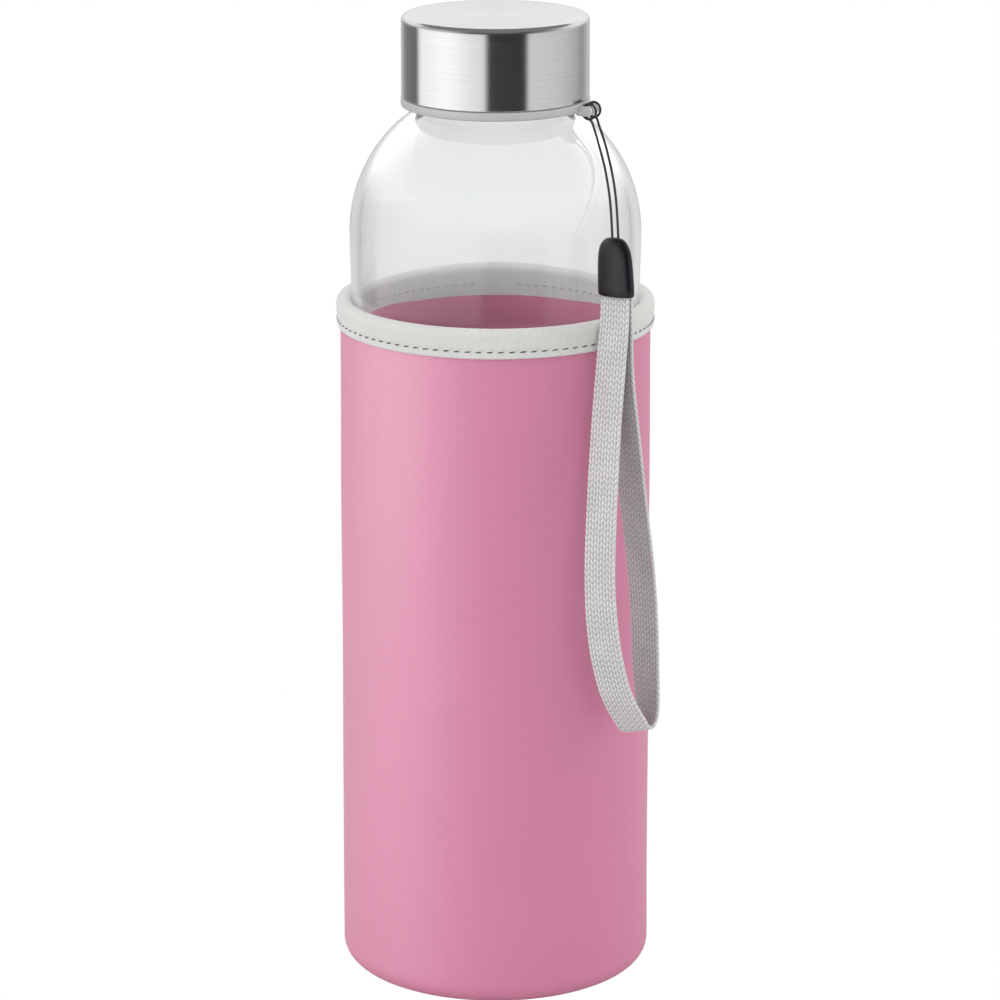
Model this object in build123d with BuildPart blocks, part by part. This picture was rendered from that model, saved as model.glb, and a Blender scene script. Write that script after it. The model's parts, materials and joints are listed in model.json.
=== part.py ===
from build123d import *
import math
import os

os.makedirs("parts", exist_ok=True)

# Glass water bottle in a padded sleeve, with a screw cap and a hand strap on a neck ring.
# Millimetres, +Z up, origin on the table at the middle of the sleeve's base.

# ---- overall sizes ----
# The overall height of 220 is the shoulder's centre, its dome, the neck ring and the cap.
sleeve_height = 157.0
glass_radius = 32.25
shoulder_bulge = 0.25
shoulder_centre_z = 171.5
neck_radius = 17.4
cap_height = 18.05

# ---- clearances ----
sleeve_fit = 0.3
layer_gap = 0.03
seat_gap = 0.1
shell_fit = 0.05
thread_side_gap = 0.3
ring_fit = 0.35
cap_to_ring_gap = 0.15
ring_over_root = 0.8902
insert_thread_gap = 0.5
strap_to_binding = 0.4
hitch_fit = 0.05

# ---- padded sleeve ----
cover_thickness = 0.42
lining_thickness = 0.4
pad_thickness = 1.8
sleeve_flare = 0.5
foot_corner = 4.3
base_pad_thickness = 1.52
base_seam_width = 0.4
seam_thread_width = 1.0
seam_thread_height = 0.18

# ---- rim binding ----
binding_height = 6.5
binding_tape = 0.8
binding_bulge = 0.95
binding_inner_leg = 0.35
stitch_row_height = 1.6
stitch_thread = 0.2

# ---- glass ----
glass_wall = 2.15
glass_base = 5.0
punt_depth = 1.8
foot_land = 5.25
glass_foot_corner = 4.0
bulge_start_z = 160.0
neck_wall = 2.4
neck_root_fillet = 1.6
lip_fillet = 0.9
thread_pitch = 4.0
thread_depth = 1.2
thread_turns = 1.5
thread_half_root = 0.9
thread_half_crest = 0.45

# ---- cap ----
shell_wall = 0.5
shell_draft = 0.05
shell_edge = 1.3
insert_roof = 1.2
insert_edge = 1.6
insert_lift = 0.3
insert_wall = 1.35
thread_lead = 1.75
seal_thickness = 1.35
seal_gap = 0.05
seal_side_gap = 0.6

# ---- neck ring and its eyelet ----
ring_height = 1.96
ring_width = 3.2
ring_edge = 0.3
eyelet_azimuth = -22.0
bar_radius = 1.0
bar_half_span = 2.1
ear_thickness = 0.8
ear_reach = 0.9
ear_height = 2.4

# ---- cord, end cap and webbing ----
cord_radius = 0.27
hitch_half_spacing = 1.3
webbing_width = 8.2
webbing_thickness = 0.9
strap_azimuth = -45.0
strap_lean = 3.5
end_cap_length = 12.8
end_cap_edge_wall = 0.75
end_cap_face_wall = 1.1
end_cap_dome = 1.9
end_cap_along = -2.45
end_cap_middle = 169.9
pocket_depth = 9.4
pocket_clearance = 0.1
knot_height = 2.0

# ---- worked-out sizes ----
sleeve_inner = glass_radius + sleeve_fit
lining_outer = sleeve_inner + lining_thickness
pad_inner = lining_outer + layer_gap
pad_top_outer = pad_inner + pad_thickness - sleeve_flare
pad_foot_outer = pad_inner + pad_thickness
cover_top_outer = pad_top_outer + layer_gap + cover_thickness
cover_foot_outer = pad_foot_outer + layer_gap + cover_thickness
binding_bottom_z = sleeve_height - binding_height
core_top_z = sleeve_height - binding_tape
binding_outer = cover_top_outer + layer_gap + binding_bulge
base_pad_z = cover_thickness + layer_gap
base_lining_z = base_pad_z + base_pad_thickness + layer_gap
sleeve_floor_z = base_lining_z + lining_thickness
foot_flat_radius = cover_foot_outer - foot_corner
base_radius = foot_flat_radius - base_seam_width

glass_foot_z = sleeve_floor_z + seat_gap
punt_radius = glass_radius - glass_foot_corner - foot_land
shoulder_radius = glass_radius + shoulder_bulge
inner_radius = glass_radius - glass_wall
bore_radius = neck_radius - neck_wall
outer_neck_z = shoulder_centre_z + math.sqrt(shoulder_radius**2 - neck_radius**2)
inner_neck_z = shoulder_centre_z + math.sqrt(inner_radius**2 - bore_radius**2)
ring_bottom_z = outer_neck_z + ring_over_root
ring_top_z = ring_bottom_z + ring_height
shell_bottom_z = ring_top_z + cap_to_ring_gap
shell_top_z = shell_bottom_z + cap_height
insert_top_z = shell_top_z - shell_wall - shell_fit
insert_ceiling_z = insert_top_z - insert_roof
insert_bottom_z = shell_bottom_z + insert_lift
mouth_z = insert_ceiling_z - seal_thickness - 2 * seal_gap
thread_start_z = insert_bottom_z + thread_lead
thread_crest = neck_radius + thread_depth
insert_bore = thread_crest + thread_side_gap
insert_radius = insert_bore + insert_wall
insert_thread_depth = thread_depth + thread_side_gap - insert_thread_gap
shell_inner = insert_radius + shell_fit + shell_draft
cap_radius = shell_inner + shell_wall
ring_inner = neck_radius + ring_fit
ring_outer = ring_inner + ring_width

strap_contact_z = sleeve_height
pocket_width = webbing_width + 2 * pocket_clearance
pocket_gap = 2 * webbing_thickness + 2 * pocket_clearance
end_cap_width = pocket_width + 2 * end_cap_edge_wall
end_cap_thickness = pocket_gap + 2 * end_cap_face_wall

wrap_radius = bar_radius + hitch_fit + cord_radius
bar_reach = ring_outer + wrap_radius + cord_radius + 0.2
bar_z = ring_bottom_z + 0.4


def ring_of_face(points, corners):
    """Closed radius-height outline with the given corners rounded."""
    with BuildSketch(Plane.XZ) as outline:
        with BuildLine():
            Polyline(*points, close=True)
        make_face()
        for index, size in corners.items():
            corner = outline.vertices().sort_by_distance((*points[index], 0))[0]
            fillet(corner, size)
    return outline.sketch


# ---------------------------------------------------------------- sleeve side
# Each layer turns in under the bottle at the foot and ends beside the base disc.
with BuildPart() as sleeve_cover:
    with BuildSketch(Plane.XZ) as cover_outline:
        foot_r = foot_flat_radius
        skin = cover_thickness
        with BuildLine():
            rise = Line((cover_foot_outer, foot_corner), (cover_top_outer, core_top_z))
            top = Line(rise @ 1, (cover_top_outer - skin, core_top_z))
            back = Line(top @ 1, (cover_foot_outer - skin, foot_corner))
            inner_bend = RadiusArc(back @ 1, (foot_r, skin), foot_corner - skin)
            tip = Line(inner_bend @ 1, (foot_r, layer_gap))
            RadiusArc(tip @ 1, rise @ 0, -foot_corner)
        make_face()
    revolve(axis=Axis.Z)

with BuildPart() as sleeve_pad:
    with BuildSketch(Plane.XZ) as pad_outline:
        skin = cover_thickness + layer_gap
        bend = foot_corner - skin
        with BuildLine():
            rise = Line((pad_foot_outer, foot_corner), (pad_top_outer, core_top_z))
            top = Line(rise @ 1, (pad_inner, core_top_z))
            back = Line(top @ 1, (pad_inner, sleeve_floor_z - lining_thickness - layer_gap))
            floor = Line(back @ 1, (base_radius + layer_gap, back.position_at(1).Y))
            tip = Line(floor @ 1, (base_radius + layer_gap, skin))
            under = Line(tip @ 1, (foot_flat_radius, skin))
            RadiusArc(under @ 1, rise @ 0, -bend)
        make_face()
    revolve(axis=Axis.Z)

with BuildPart() as sleeve_lining:
    with BuildSketch(Plane.XZ):
        with Locations((sleeve_inner, base_lining_z)):
            Rectangle(
                lining_thickness,
                binding_bottom_z - base_lining_z - layer_gap,
                align=(Align.MIN, Align.MIN),
            )
    revolve(axis=Axis.Z)

# ---------------------------------------------------------------- sleeve base
base_discs = {}
for disc_name, low_z, depth, radius in (
    ("base_cover", 0.0, cover_thickness, base_radius),
    ("base_pad", base_pad_z, base_pad_thickness, base_radius),
    ("base_lining", base_lining_z, lining_thickness, sleeve_inner - layer_gap),
):
    with BuildPart() as disc:
        with BuildSketch(Plane.XY.offset(low_z)):
            Circle(radius)
        extrude(amount=depth)
    base_discs[disc_name] = disc.part

with BuildPart() as base_seam_thread:
    with BuildSketch(Plane.XZ):
        with Locations(((base_radius + foot_flat_radius) / 2, cover_thickness * 0.6)):
            Circle((base_seam_width - 2 * layer_gap) / 2)
    revolve(axis=Axis.Z)

with BuildPart() as side_seam_thread:
    # a flat run of thread up the back of the cover, from the foot bend to the binding
    with BuildSketch(Plane.YZ):
        foot_y = cover_foot_outer + layer_gap
        flare_slope = (cover_foot_outer - cover_top_outer) / (core_top_z - foot_corner)
        low_z = foot_corner + 1.0
        high_z = binding_bottom_z - 0.2
        low_y = foot_y - flare_slope * (low_z - foot_corner)
        high_y = foot_y - flare_slope * (high_z - foot_corner)
        with BuildLine():
            Polyline(
                (low_y, low_z),
                (low_y + seam_thread_height, low_z),
                (high_y + seam_thread_height, high_z),
                (high_y, high_z),
                close=True,
            )
        make_face()
    extrude(amount=seam_thread_width / 2, both=True)

# ---------------------------------------------------------------- rim binding
leg_outer = cover_top_outer + layer_gap + 0.02
with BuildPart() as rim_binding:
    with BuildSketch(Plane.XZ) as binding_outline:
        inner_face = sleeve_inner + 0.05
        inner_back = inner_face + binding_inner_leg
        tape_edge = leg_outer + 0.55
        with BuildLine():
            inside = Line((inner_face, binding_bottom_z), (inner_face, sleeve_height - 1.3))
            crest = ThreePointArc(
                inside @ 1,
                ((inner_face + binding_outer) / 2 - 0.3, sleeve_height),
                (binding_outer - 0.35, sleeve_height - 1.7),
            )
            swell = ThreePointArc(
                crest @ 1,
                (binding_outer, binding_bottom_z + 2.9),
                (tape_edge, binding_bottom_z),
            )
            hem = Line(swell @ 1, (leg_outer, binding_bottom_z))
            outside = Line(hem @ 1, (leg_outer, core_top_z + layer_gap))
            over = Line(outside @ 1, (inner_back, core_top_z + layer_gap))
            down = Line(over @ 1, (inner_back, binding_bottom_z))
            Line(down @ 1, inside @ 0)
        make_face()
    revolve(axis=Axis.Z)

with BuildPart() as binding_thread:
    with BuildSketch(Plane.XZ):
        with Locations((binding_outer + layer_gap + stitch_thread / 2, binding_bottom_z + stitch_row_height)):
            Rectangle(stitch_thread, stitch_thread)
    revolve(axis=Axis.Z)

# ---------------------------------------------------------------- glass bottle
slant = math.sqrt(0.5)
with BuildPart() as glass_bottle:
    with BuildSketch(Plane.XZ) as glass_outline:
        with BuildLine():
            punt = ThreePointArc(
                (0, glass_foot_z + punt_depth),
                (punt_radius * 0.55, glass_foot_z + punt_depth * 0.7),
                (punt_radius, glass_foot_z),
            )
            foot = Line(punt @ 1, (glass_radius - glass_foot_corner, glass_foot_z))
            heel = RadiusArc(
                foot @ 1, (glass_radius, glass_foot_z + glass_foot_corner), -glass_foot_corner
            )
            side = Line(heel @ 1, (glass_radius, bulge_start_z))
            swell = Line(side @ 1, (shoulder_radius, shoulder_centre_z))
            dome = ThreePointArc(
                swell @ 1,
                (shoulder_radius * slant, shoulder_centre_z + shoulder_radius * slant),
                (neck_radius, outer_neck_z),
            )
            neck = Line(dome @ 1, (neck_radius, mouth_z))
            lip = Line(neck @ 1, (bore_radius, mouth_z))
            bore = Line(lip @ 1, (bore_radius, inner_neck_z))
            inner_dome = ThreePointArc(
                bore @ 1,
                (inner_radius * slant, shoulder_centre_z + inner_radius * slant),
                (inner_radius, shoulder_centre_z),
            )
            inner_foot_z = glass_foot_z + glass_base
            wall = Line(inner_dome @ 1, (inner_radius, inner_foot_z + glass_foot_corner))
            inner_heel = RadiusArc(
                wall @ 1, (inner_radius - glass_foot_corner, inner_foot_z), glass_foot_corner
            )
            floor = Line(inner_heel @ 1, (0, inner_foot_z))
            Line(floor @ 1, punt @ 0)
        make_face()
        corners = glass_outline.vertices()
        fillet(corners.sort_by_distance((neck_radius, outer_neck_z, 0))[0], neck_root_fillet)
        fillet(corners.sort_by_distance((bore_radius, inner_neck_z, 0))[0], 2 * neck_root_fillet)
        fillet(corners.sort_by_distance((neck_radius, mouth_z, 0))[0], lip_fillet)
        fillet(corners.sort_by_distance((bore_radius, mouth_z, 0))[0], lip_fillet)
    revolve(axis=Axis.Z)


def screw_thread(root_radius, depth, start_z, turns, sink):
    """Right-handed ridge: depth is positive outwards from a neck, negative inwards from a bore."""
    side = 1 if depth > 0 else -1
    with BuildPart(mode=Mode.PRIVATE) as ridge:
        with BuildLine(mode=Mode.PRIVATE) as path:
            Helix(thread_pitch, thread_pitch * turns, root_radius, center=(0, 0, start_z))
        plane = Plane(origin=path.line @ 0, x_dir=(1, 0, 0), z_dir=path.line % 0)
        with BuildSketch(plane):
            with BuildLine():
                Polyline(
                    (-side * sink, -thread_half_root),
                    (0, -thread_half_root),
                    (depth, -thread_half_crest),
                    (depth, thread_half_crest),
                    (0, thread_half_root),
                    (-side * sink, thread_half_root),
                    close=True,
                )
            make_face()
        sweep(path=path.line, is_frenet=True)
    return ridge.part


with glass_bottle:
    add(screw_thread(neck_radius, thread_depth, thread_start_z, thread_turns, 0.3))

# ---------------------------------------------------------------- cap
with BuildPart() as cap_shell:
    top_radius = cap_radius - shell_draft
    shell_points = [
        (0, shell_top_z),
        (top_radius, shell_top_z),
        (cap_radius, shell_bottom_z),
        (shell_inner, shell_bottom_z),
        (top_radius - shell_wall, shell_top_z - shell_wall),
        (0, shell_top_z - shell_wall),
    ]
    add(ring_of_face(shell_points, {1: shell_edge, 4: shell_edge - shell_wall}))
    revolve(axis=Axis.Z)

with BuildPart() as cap_insert:
    insert_points = [
        (0, insert_top_z),
        (insert_radius, insert_top_z),
        (insert_radius, insert_bottom_z),
        (insert_bore, insert_bottom_z),
        (insert_bore, insert_ceiling_z),
        (0, insert_ceiling_z),
    ]
    add(ring_of_face(insert_points, {1: insert_edge}))
    revolve(axis=Axis.Z)
    half_pitch = thread_pitch / 2
    add(screw_thread(insert_bore, -insert_thread_depth, thread_start_z + half_pitch, 1.0, 0.3))

with BuildPart() as cap_seal:
    with BuildSketch(Plane.XY.offset(mouth_z + seal_gap)):
        Circle(insert_bore - seal_side_gap)
    extrude(amount=seal_thickness)
    fillet(cap_seal.edges().filter_by(GeomType.CIRCLE), 0.3)

# ---------------------------------------------------------------- neck ring with its eyelet
eyelet_angle = math.radians(eyelet_azimuth)
outward = Vector(math.cos(eyelet_angle), math.sin(eyelet_angle), 0)
along_bar = Vector(-math.sin(eyelet_angle), math.cos(eyelet_angle), 0)
bar_centre = outward * bar_reach + Vector(0, 0, bar_z)
bar_plane = Plane(origin=bar_centre, x_dir=outward, z_dir=along_bar)
ear_offset = bar_half_span + ear_thickness / 2

with BuildPart() as neck_ring:
    with BuildSketch(Plane.XZ) as ring_outline:
        with Locations((ring_inner, ring_bottom_z)):
            Rectangle(ring_width, ring_height, align=(Align.MIN, Align.MIN))
        fillet(ring_outline.vertices(), ring_edge)
    revolve(axis=Axis.Z)
    for ear_side in (-1, 1):
        with BuildSketch(bar_plane.offset(ear_side * ear_offset)):
            with Locations((-wrap_radius / 2 - cord_radius, 0)):
                Rectangle(wrap_radius + 2 * cord_radius + 0.8, ear_height)
            Circle(ear_height / 2)
        extrude(amount=ear_thickness / 2, both=True)
    with BuildSketch(bar_plane):
        Circle(bar_radius)
    extrude(amount=bar_half_span + ear_thickness / 2, both=True)

# ---------------------------------------------------------------- cord hitch round the bar
with BuildPart() as cord_hitch:
    for side in (-1, 1):
        wrap_plane = Plane(
            origin=bar_centre + along_bar * (side * hitch_half_spacing),
            x_dir=outward,
            z_dir=outward.cross(along_bar),
        )
        with BuildSketch(wrap_plane):
            with Locations((wrap_radius, 0)):
                Circle(cord_radius)
        wrap_axis = Axis(origin=bar_centre, direction=along_bar)
        revolve(axis=wrap_axis)
    bight_centre = bar_centre + outward * (wrap_radius * 0.72) + Vector(0, 0, wrap_radius * 0.72)
    with BuildSketch(Plane(origin=bight_centre, x_dir=outward, z_dir=along_bar)):
        Circle(cord_radius)
    extrude(amount=hitch_half_spacing, both=True)

# ---------------------------------------------------------------- strap plane
# The strap hangs edge-on against the binding, in a plane that leans out a little.
strap_angle = math.radians(strap_azimuth)
strap_out = Vector(math.cos(strap_angle), math.sin(strap_angle), 0)
strap_along = Vector(-math.sin(strap_angle), math.cos(strap_angle), 0)
lean = math.radians(strap_lean)
strap_normal = strap_out * math.cos(lean) + Vector(0, 0, math.sin(lean))
contact_reach = binding_outer + strap_to_binding + webbing_width / 2
strap_origin = strap_out * contact_reach + Vector(0, 0, strap_contact_z)
strap_plane = Plane(origin=strap_origin, x_dir=strap_along, z_dir=strap_normal)

# ---------------------------------------------------------------- end cap
end_cap_origin = strap_plane.from_local_coords(
    (end_cap_along, end_cap_middle - strap_contact_z - end_cap_length / 2, 0)
)
end_cap_plane = Plane(origin=end_cap_origin, x_dir=strap_normal, z_dir=strap_plane.y_dir)
with BuildPart() as strap_end_cap:
    with BuildSketch(end_cap_plane):
        SlotOverall(end_cap_width, end_cap_thickness)
    extrude(amount=end_cap_length)
    top_edges = strap_end_cap.edges().group_by(Axis(end_cap_origin, end_cap_plane.z_dir))[-1]
    fillet(top_edges, end_cap_dome)
    with BuildSketch(end_cap_plane):
        Rectangle(pocket_width, pocket_gap)
    extrude(amount=pocket_depth, mode=Mode.SUBTRACT)
    with BuildSketch(end_cap_plane):
        Rectangle(4 * cord_radius + 2.0, 2 * cord_radius + 0.6)
    extrude(amount=end_cap_length, mode=Mode.SUBTRACT)

with BuildPart() as cord_knot:
    knot_plane = end_cap_plane.offset(pocket_depth - knot_height - 0.2)
    with BuildSketch(knot_plane):
        RectangleRounded(4.4, pocket_gap - 0.1, 0.6)
    extrude(amount=knot_height)
    fillet(cord_knot.edges().group_by(Axis(end_cap_origin, end_cap_plane.z_dir))[-1], 0.4)


# ---------------------------------------------------------------- runs and arcs of a cord
def corner_radii(route):
    """Largest arc that the two runs at each inner point of a route allow."""
    radii = []
    points = [Vector(*point) for point in route]
    for before, here, after in zip(points, points[1:], points[2:]):
        turn = math.radians((here - before).get_angle(after - here))
        shorter = min((here - before).length, (after - here).length)
        radii.append(0.45 * shorter / math.tan(turn / 2))
    return radii


# Each strand runs from its wrap on the bar, over the shoulder, into the end cap.
cord_routes = {
    "cord_strand_left": [
        (20.68, -9.72, 198.98),
        (21.45, -10.00, 197.00),
        (22.55, -11.70, 193.50),
        (23.78, -14.80, 189.30),
        (24.47, -18.20, 186.00),
        (24.94, -21.70, 182.80),
        (25.16, -25.10, 179.60),
        (25.27, -27.70, 176.90),
        (25.40, -28.80, 174.10),
        (25.52, -28.99, 171.00),
    ],
    "cord_strand_right": [
        (21.66, -7.30, 198.98),
        (22.65, -7.95, 197.00),
        (23.95, -10.40, 193.50),
        (25.14, -14.30, 189.30),
        (25.83, -18.25, 186.00),
        (26.26, -22.10, 182.80),
        (26.44, -25.90, 179.60),
        (26.53, -28.90, 176.90),
        (26.66, -30.06, 174.10),
        (26.80, -30.27, 171.00),
    ],
}
cord_parts = {}
for cord_name, route in cord_routes.items():
    radii = corner_radii(route)
    print(cord_name, "radii", [round(radius, 1) for radius in radii])
    with BuildPart() as strand:
        with BuildLine() as strand_path:
            FilletPolyline(*route, radius=radii)
        strand_start = Plane(origin=strand_path.line @ 0, z_dir=strand_path.line % 0)
        with BuildSketch(strand_start):
            Circle(cord_radius)
        sweep(path=strand_path.line)
    cord_parts[cord_name] = strand.part
    print(cord_name, "length", round(strand_path.wire().length, 2))

# Webbing route in the strap plane: along the plane, and height on the plane's slope.
webbing_route = [
    (-2.92, 168.6),
    (-2.98, 160.5),
    (-5.20, 148.5),
    (-7.70, 134.0),
    (-9.90, 117.0),
    (-11.55, 101.0),
    (-10.95, 87.5),
    (-8.40, 76.5),
    (-5.60, 71.0),
    (-3.60, 68.1),
    (-1.50, 65.3),
    (1.60, 65.6),
    (3.35, 68.5),
    (3.45, 73.0),
    (3.20, 80.0),
    (3.25, 90.0),
    (2.35, 103.0),
    (0.30, 117.5),
    (-1.25, 132.5),
    (-2.75, 146.5),
    (-2.02, 160.2),
    (-1.98, 168.6),
]
flat_route = [(along, height - strap_contact_z) for along, height in webbing_route]
webbing_radii = corner_radii([(x, y, 0) for x, y in flat_route])
print("webbing_loop radii", [round(radius, 1) for radius in webbing_radii])
with BuildPart() as webbing_loop:
    with BuildSketch(strap_plane):
        with BuildLine() as webbing_path:
            FilletPolyline(*flat_route, radius=webbing_radii)
        trace(line_width=webbing_thickness)
    extrude(amount=webbing_width / 2, both=True)
webbing_length = webbing_path.wire().length
print("webbing_loop length", round(webbing_length, 1), "volume ratio",
      round(webbing_loop.part.volume / (webbing_length * webbing_width * webbing_thickness), 4))

# ---------------------------------------------------------------- write the pieces
pieces = {
    "sleeve_cover": sleeve_cover.part,
    "sleeve_pad": sleeve_pad.part,
    "sleeve_lining": sleeve_lining.part,
    "base_seam_thread": base_seam_thread.part,
    "side_seam_thread": side_seam_thread.part,
    "rim_binding": rim_binding.part,
    "binding_thread": binding_thread.part,
    "glass_bottle": glass_bottle.part,
    "cap_shell": cap_shell.part,
    "cap_insert": cap_insert.part,
    "cap_seal": cap_seal.part,
    "neck_ring": neck_ring.part,
    "cord_hitch": cord_hitch.part,
    "strap_end_cap": strap_end_cap.part,
    "cord_knot": cord_knot.part,
    "webbing_loop": webbing_loop.part,
    **base_discs,
    **cord_parts,
}
for piece_name, piece in pieces.items():
    piece.label = piece_name
    export_step(piece, f"parts/{piece_name}.step")
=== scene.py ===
"""Looks of a glass water bottle in a padded sleeve with a webbing hand strap.

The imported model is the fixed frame: every piece here is placed from it, in metres.
"""

import json
import logging
import math
from dataclasses import dataclass
from enum import Enum
from typing import Callable, Iterable, Optional, Sequence

import bpy
from mathutils import Matrix, Vector, noise


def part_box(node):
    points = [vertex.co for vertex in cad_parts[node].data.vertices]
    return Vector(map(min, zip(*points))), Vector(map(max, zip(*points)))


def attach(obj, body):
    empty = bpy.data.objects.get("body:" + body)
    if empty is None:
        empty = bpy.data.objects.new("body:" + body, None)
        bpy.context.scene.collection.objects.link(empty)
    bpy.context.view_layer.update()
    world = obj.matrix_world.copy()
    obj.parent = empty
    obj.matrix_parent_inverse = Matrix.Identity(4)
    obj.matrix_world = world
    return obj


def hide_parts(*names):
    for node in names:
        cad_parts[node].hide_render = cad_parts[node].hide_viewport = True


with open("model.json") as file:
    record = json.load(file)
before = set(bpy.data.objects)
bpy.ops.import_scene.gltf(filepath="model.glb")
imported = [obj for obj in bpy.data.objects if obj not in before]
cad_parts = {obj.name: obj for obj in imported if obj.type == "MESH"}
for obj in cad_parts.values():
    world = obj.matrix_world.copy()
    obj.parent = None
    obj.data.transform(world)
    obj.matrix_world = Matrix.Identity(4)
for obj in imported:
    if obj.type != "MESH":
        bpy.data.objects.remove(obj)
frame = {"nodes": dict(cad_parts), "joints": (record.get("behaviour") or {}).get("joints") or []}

Profile = list[tuple[float, float]]
Colour = tuple[float, float, float]

MM = 0.001
UP = Vector((0, 0, 1))
BEND_STEPS = 8
log = logging.getLogger("bottle")


# ------------------------------------------------------------------ modelling helpers
def deselect_all() -> None:
    """Leaves object mode with nothing selected."""
    if bpy.context.object and bpy.context.object.mode != "OBJECT":
        bpy.ops.object.mode_set(mode="OBJECT")
    bpy.ops.object.select_all(action="DESELECT")


def make_active(piece: bpy.types.Object) -> None:
    """Selects one object alone and makes it the active one."""
    deselect_all()
    piece.select_set(True)
    bpy.context.view_layer.objects.active = piece


def apply_place(piece: bpy.types.Object) -> None:
    """Puts an object's place, turn and scale into its mesh."""
    make_active(piece)
    bpy.ops.object.transform_apply(location=True, rotation=True, scale=True)


def round_arc(
    centre: tuple[float, float], radius: float, start: float, end: float, steps: int
) -> Profile:
    """Points of an arc in the radius-height plane.

    Args:
        centre: radius and height of the arc's centre.
        radius: the arc's own radius.
        start: first angle in degrees, from the outward direction towards up.
        end: last angle in degrees.
        steps: number of straight pieces.

    Returns:
        The points from start to end, both included.
    """
    points = []
    for index in range(steps + 1):
        angle = math.radians(start + (end - start) * index / steps)
        points.append((centre[0] + radius * math.cos(angle), centre[1] + radius * math.sin(angle)))
    return points


def straight(start: tuple[float, float], end: tuple[float, float], steps: int) -> Profile:
    """Points of a straight run, both ends included."""
    return [
        (start[0] + (end[0] - start[0]) * i / steps, start[1] + (end[1] - start[1]) * i / steps)
        for i in range(steps + 1)
    ]


def turn_profile(
    name: str, profile: Profile, segments: int, smooth_angle: float = 40
) -> bpy.types.Object:
    """Turns a profile round the Z axis by extruding a circle ring by ring.

    Args:
        name: the new object's name.
        profile: radius and height of each ring. A radius of zero at either end closes the
            shape on the axis, and a last point equal to the first closes the section.
        segments: number of sides of each ring.
        smooth_angle: edges sharper than this many degrees stay crisp.

    Returns:
        The turned object, its origin at the world origin.
    """
    starts_on_axis = profile[0][0] == 0
    rings = profile[1:] if starts_on_axis else profile
    radius, height = rings[0]
    deselect_all()
    bpy.ops.mesh.primitive_circle_add(
        vertices=segments,
        radius=radius,
        fill_type="TRIFAN" if starts_on_axis else "NOTHING",
        location=(0, 0, height),
    )
    piece = bpy.context.object
    piece.name = name
    apply_place(piece)
    bpy.ops.object.mode_set(mode="EDIT")
    bpy.ops.mesh.select_all(action="DESELECT")
    bpy.ops.object.mode_set(mode="OBJECT")
    for vertex in piece.data.vertices:
        vertex.select = math.hypot(vertex.co.x, vertex.co.y) > radius / 2
    bpy.ops.object.mode_set(mode="EDIT")
    bpy.ops.mesh.select_mode(type="VERT")
    for next_radius, next_height in rings[1:]:
        lift = (0, 0, next_height - height)
        bpy.ops.mesh.extrude_edges_move(TRANSFORM_OT_translate={"value": lift})
        height = next_height
        if next_radius == 0:
            bpy.ops.mesh.merge(type="CENTER")
            break
        scale = next_radius / radius
        bpy.ops.transform.resize(value=(scale, scale, 1), center_override=(0, 0, height))
        radius = next_radius
    bpy.ops.mesh.select_all(action="SELECT")
    bpy.ops.mesh.remove_doubles(threshold=1e-6)
    bpy.ops.mesh.normals_make_consistent(inside=False)
    bpy.ops.object.mode_set(mode="OBJECT")
    bpy.ops.object.shade_smooth_by_angle(angle=math.radians(smooth_angle))
    return piece


def shell_profile(outer: Profile, inner: Profile) -> Profile:
    """One closed section from an outer line and an inner line that run the same way."""
    return [*outer, *reversed(inner), outer[0]]


def move_points(piece: bpy.types.Object, rule: Callable[[Vector], Vector]) -> None:
    """Moves every vertex of a mesh to where the rule puts it."""
    for vertex in piece.data.vertices:
        vertex.co = rule(vertex.co)
    piece.data.update()


def join_pieces(pieces: Sequence[bpy.types.Object], name: str) -> bpy.types.Object:
    """Joins meshes into one object with that name."""
    deselect_all()
    for piece in pieces:
        piece.select_set(True)
    bpy.context.view_layer.objects.active = pieces[0]
    bpy.ops.object.join()
    joined = bpy.context.object
    joined.name = name
    return joined


def copies_joined(
    master: bpy.types.Object, places: Iterable[Matrix], name: str
) -> bpy.types.Object:
    """Copies a small mesh to each place and joins the copies.

    Args:
        master: the mesh to repeat, which is removed afterwards.
        places: one matrix for each copy.
        name: the joined object's name.

    Returns:
        The joined object.
    """
    copies = []
    for place in places:
        copy = bpy.data.objects.new(name, master.data.copy())
        bpy.context.collection.objects.link(copy)
        copy.data.transform(place)
        copies.append(copy)
    bpy.data.objects.remove(master, do_unlink=True)
    return join_pieces(copies, name)


def stitch_master(length: float, thickness: float, dip: float) -> bpy.types.Object:
    """One sewn stitch along X: a slim bead whose ends dip into the cloth at -Z."""
    deselect_all()
    bpy.ops.mesh.primitive_uv_sphere_add(segments=8, ring_count=6, radius=0.5)
    bead = bpy.context.object
    bead.rotation_euler = (0, math.pi / 2, 0)
    apply_place(bead)
    bead.scale = (length, thickness, thickness)
    apply_place(bead)
    half = length / 2
    move_points(bead, lambda p: Vector((p.x, p.y, p.z - dip * (p.x / half) ** 2)))
    bpy.ops.object.shade_smooth()
    return bead


# ------------------------------------------------------------------ node helpers
def srgb(red: int, green: int, blue: int) -> Colour:
    """Linear colour of an 8-bit display colour."""

    def one(value: int) -> float:
        """Linear level of one channel."""
        share = value / 255
        return share / 12.92 if share <= 0.04045 else ((share + 0.055) / 1.055) ** 2.4

    return (one(red), one(green), one(blue))


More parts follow.
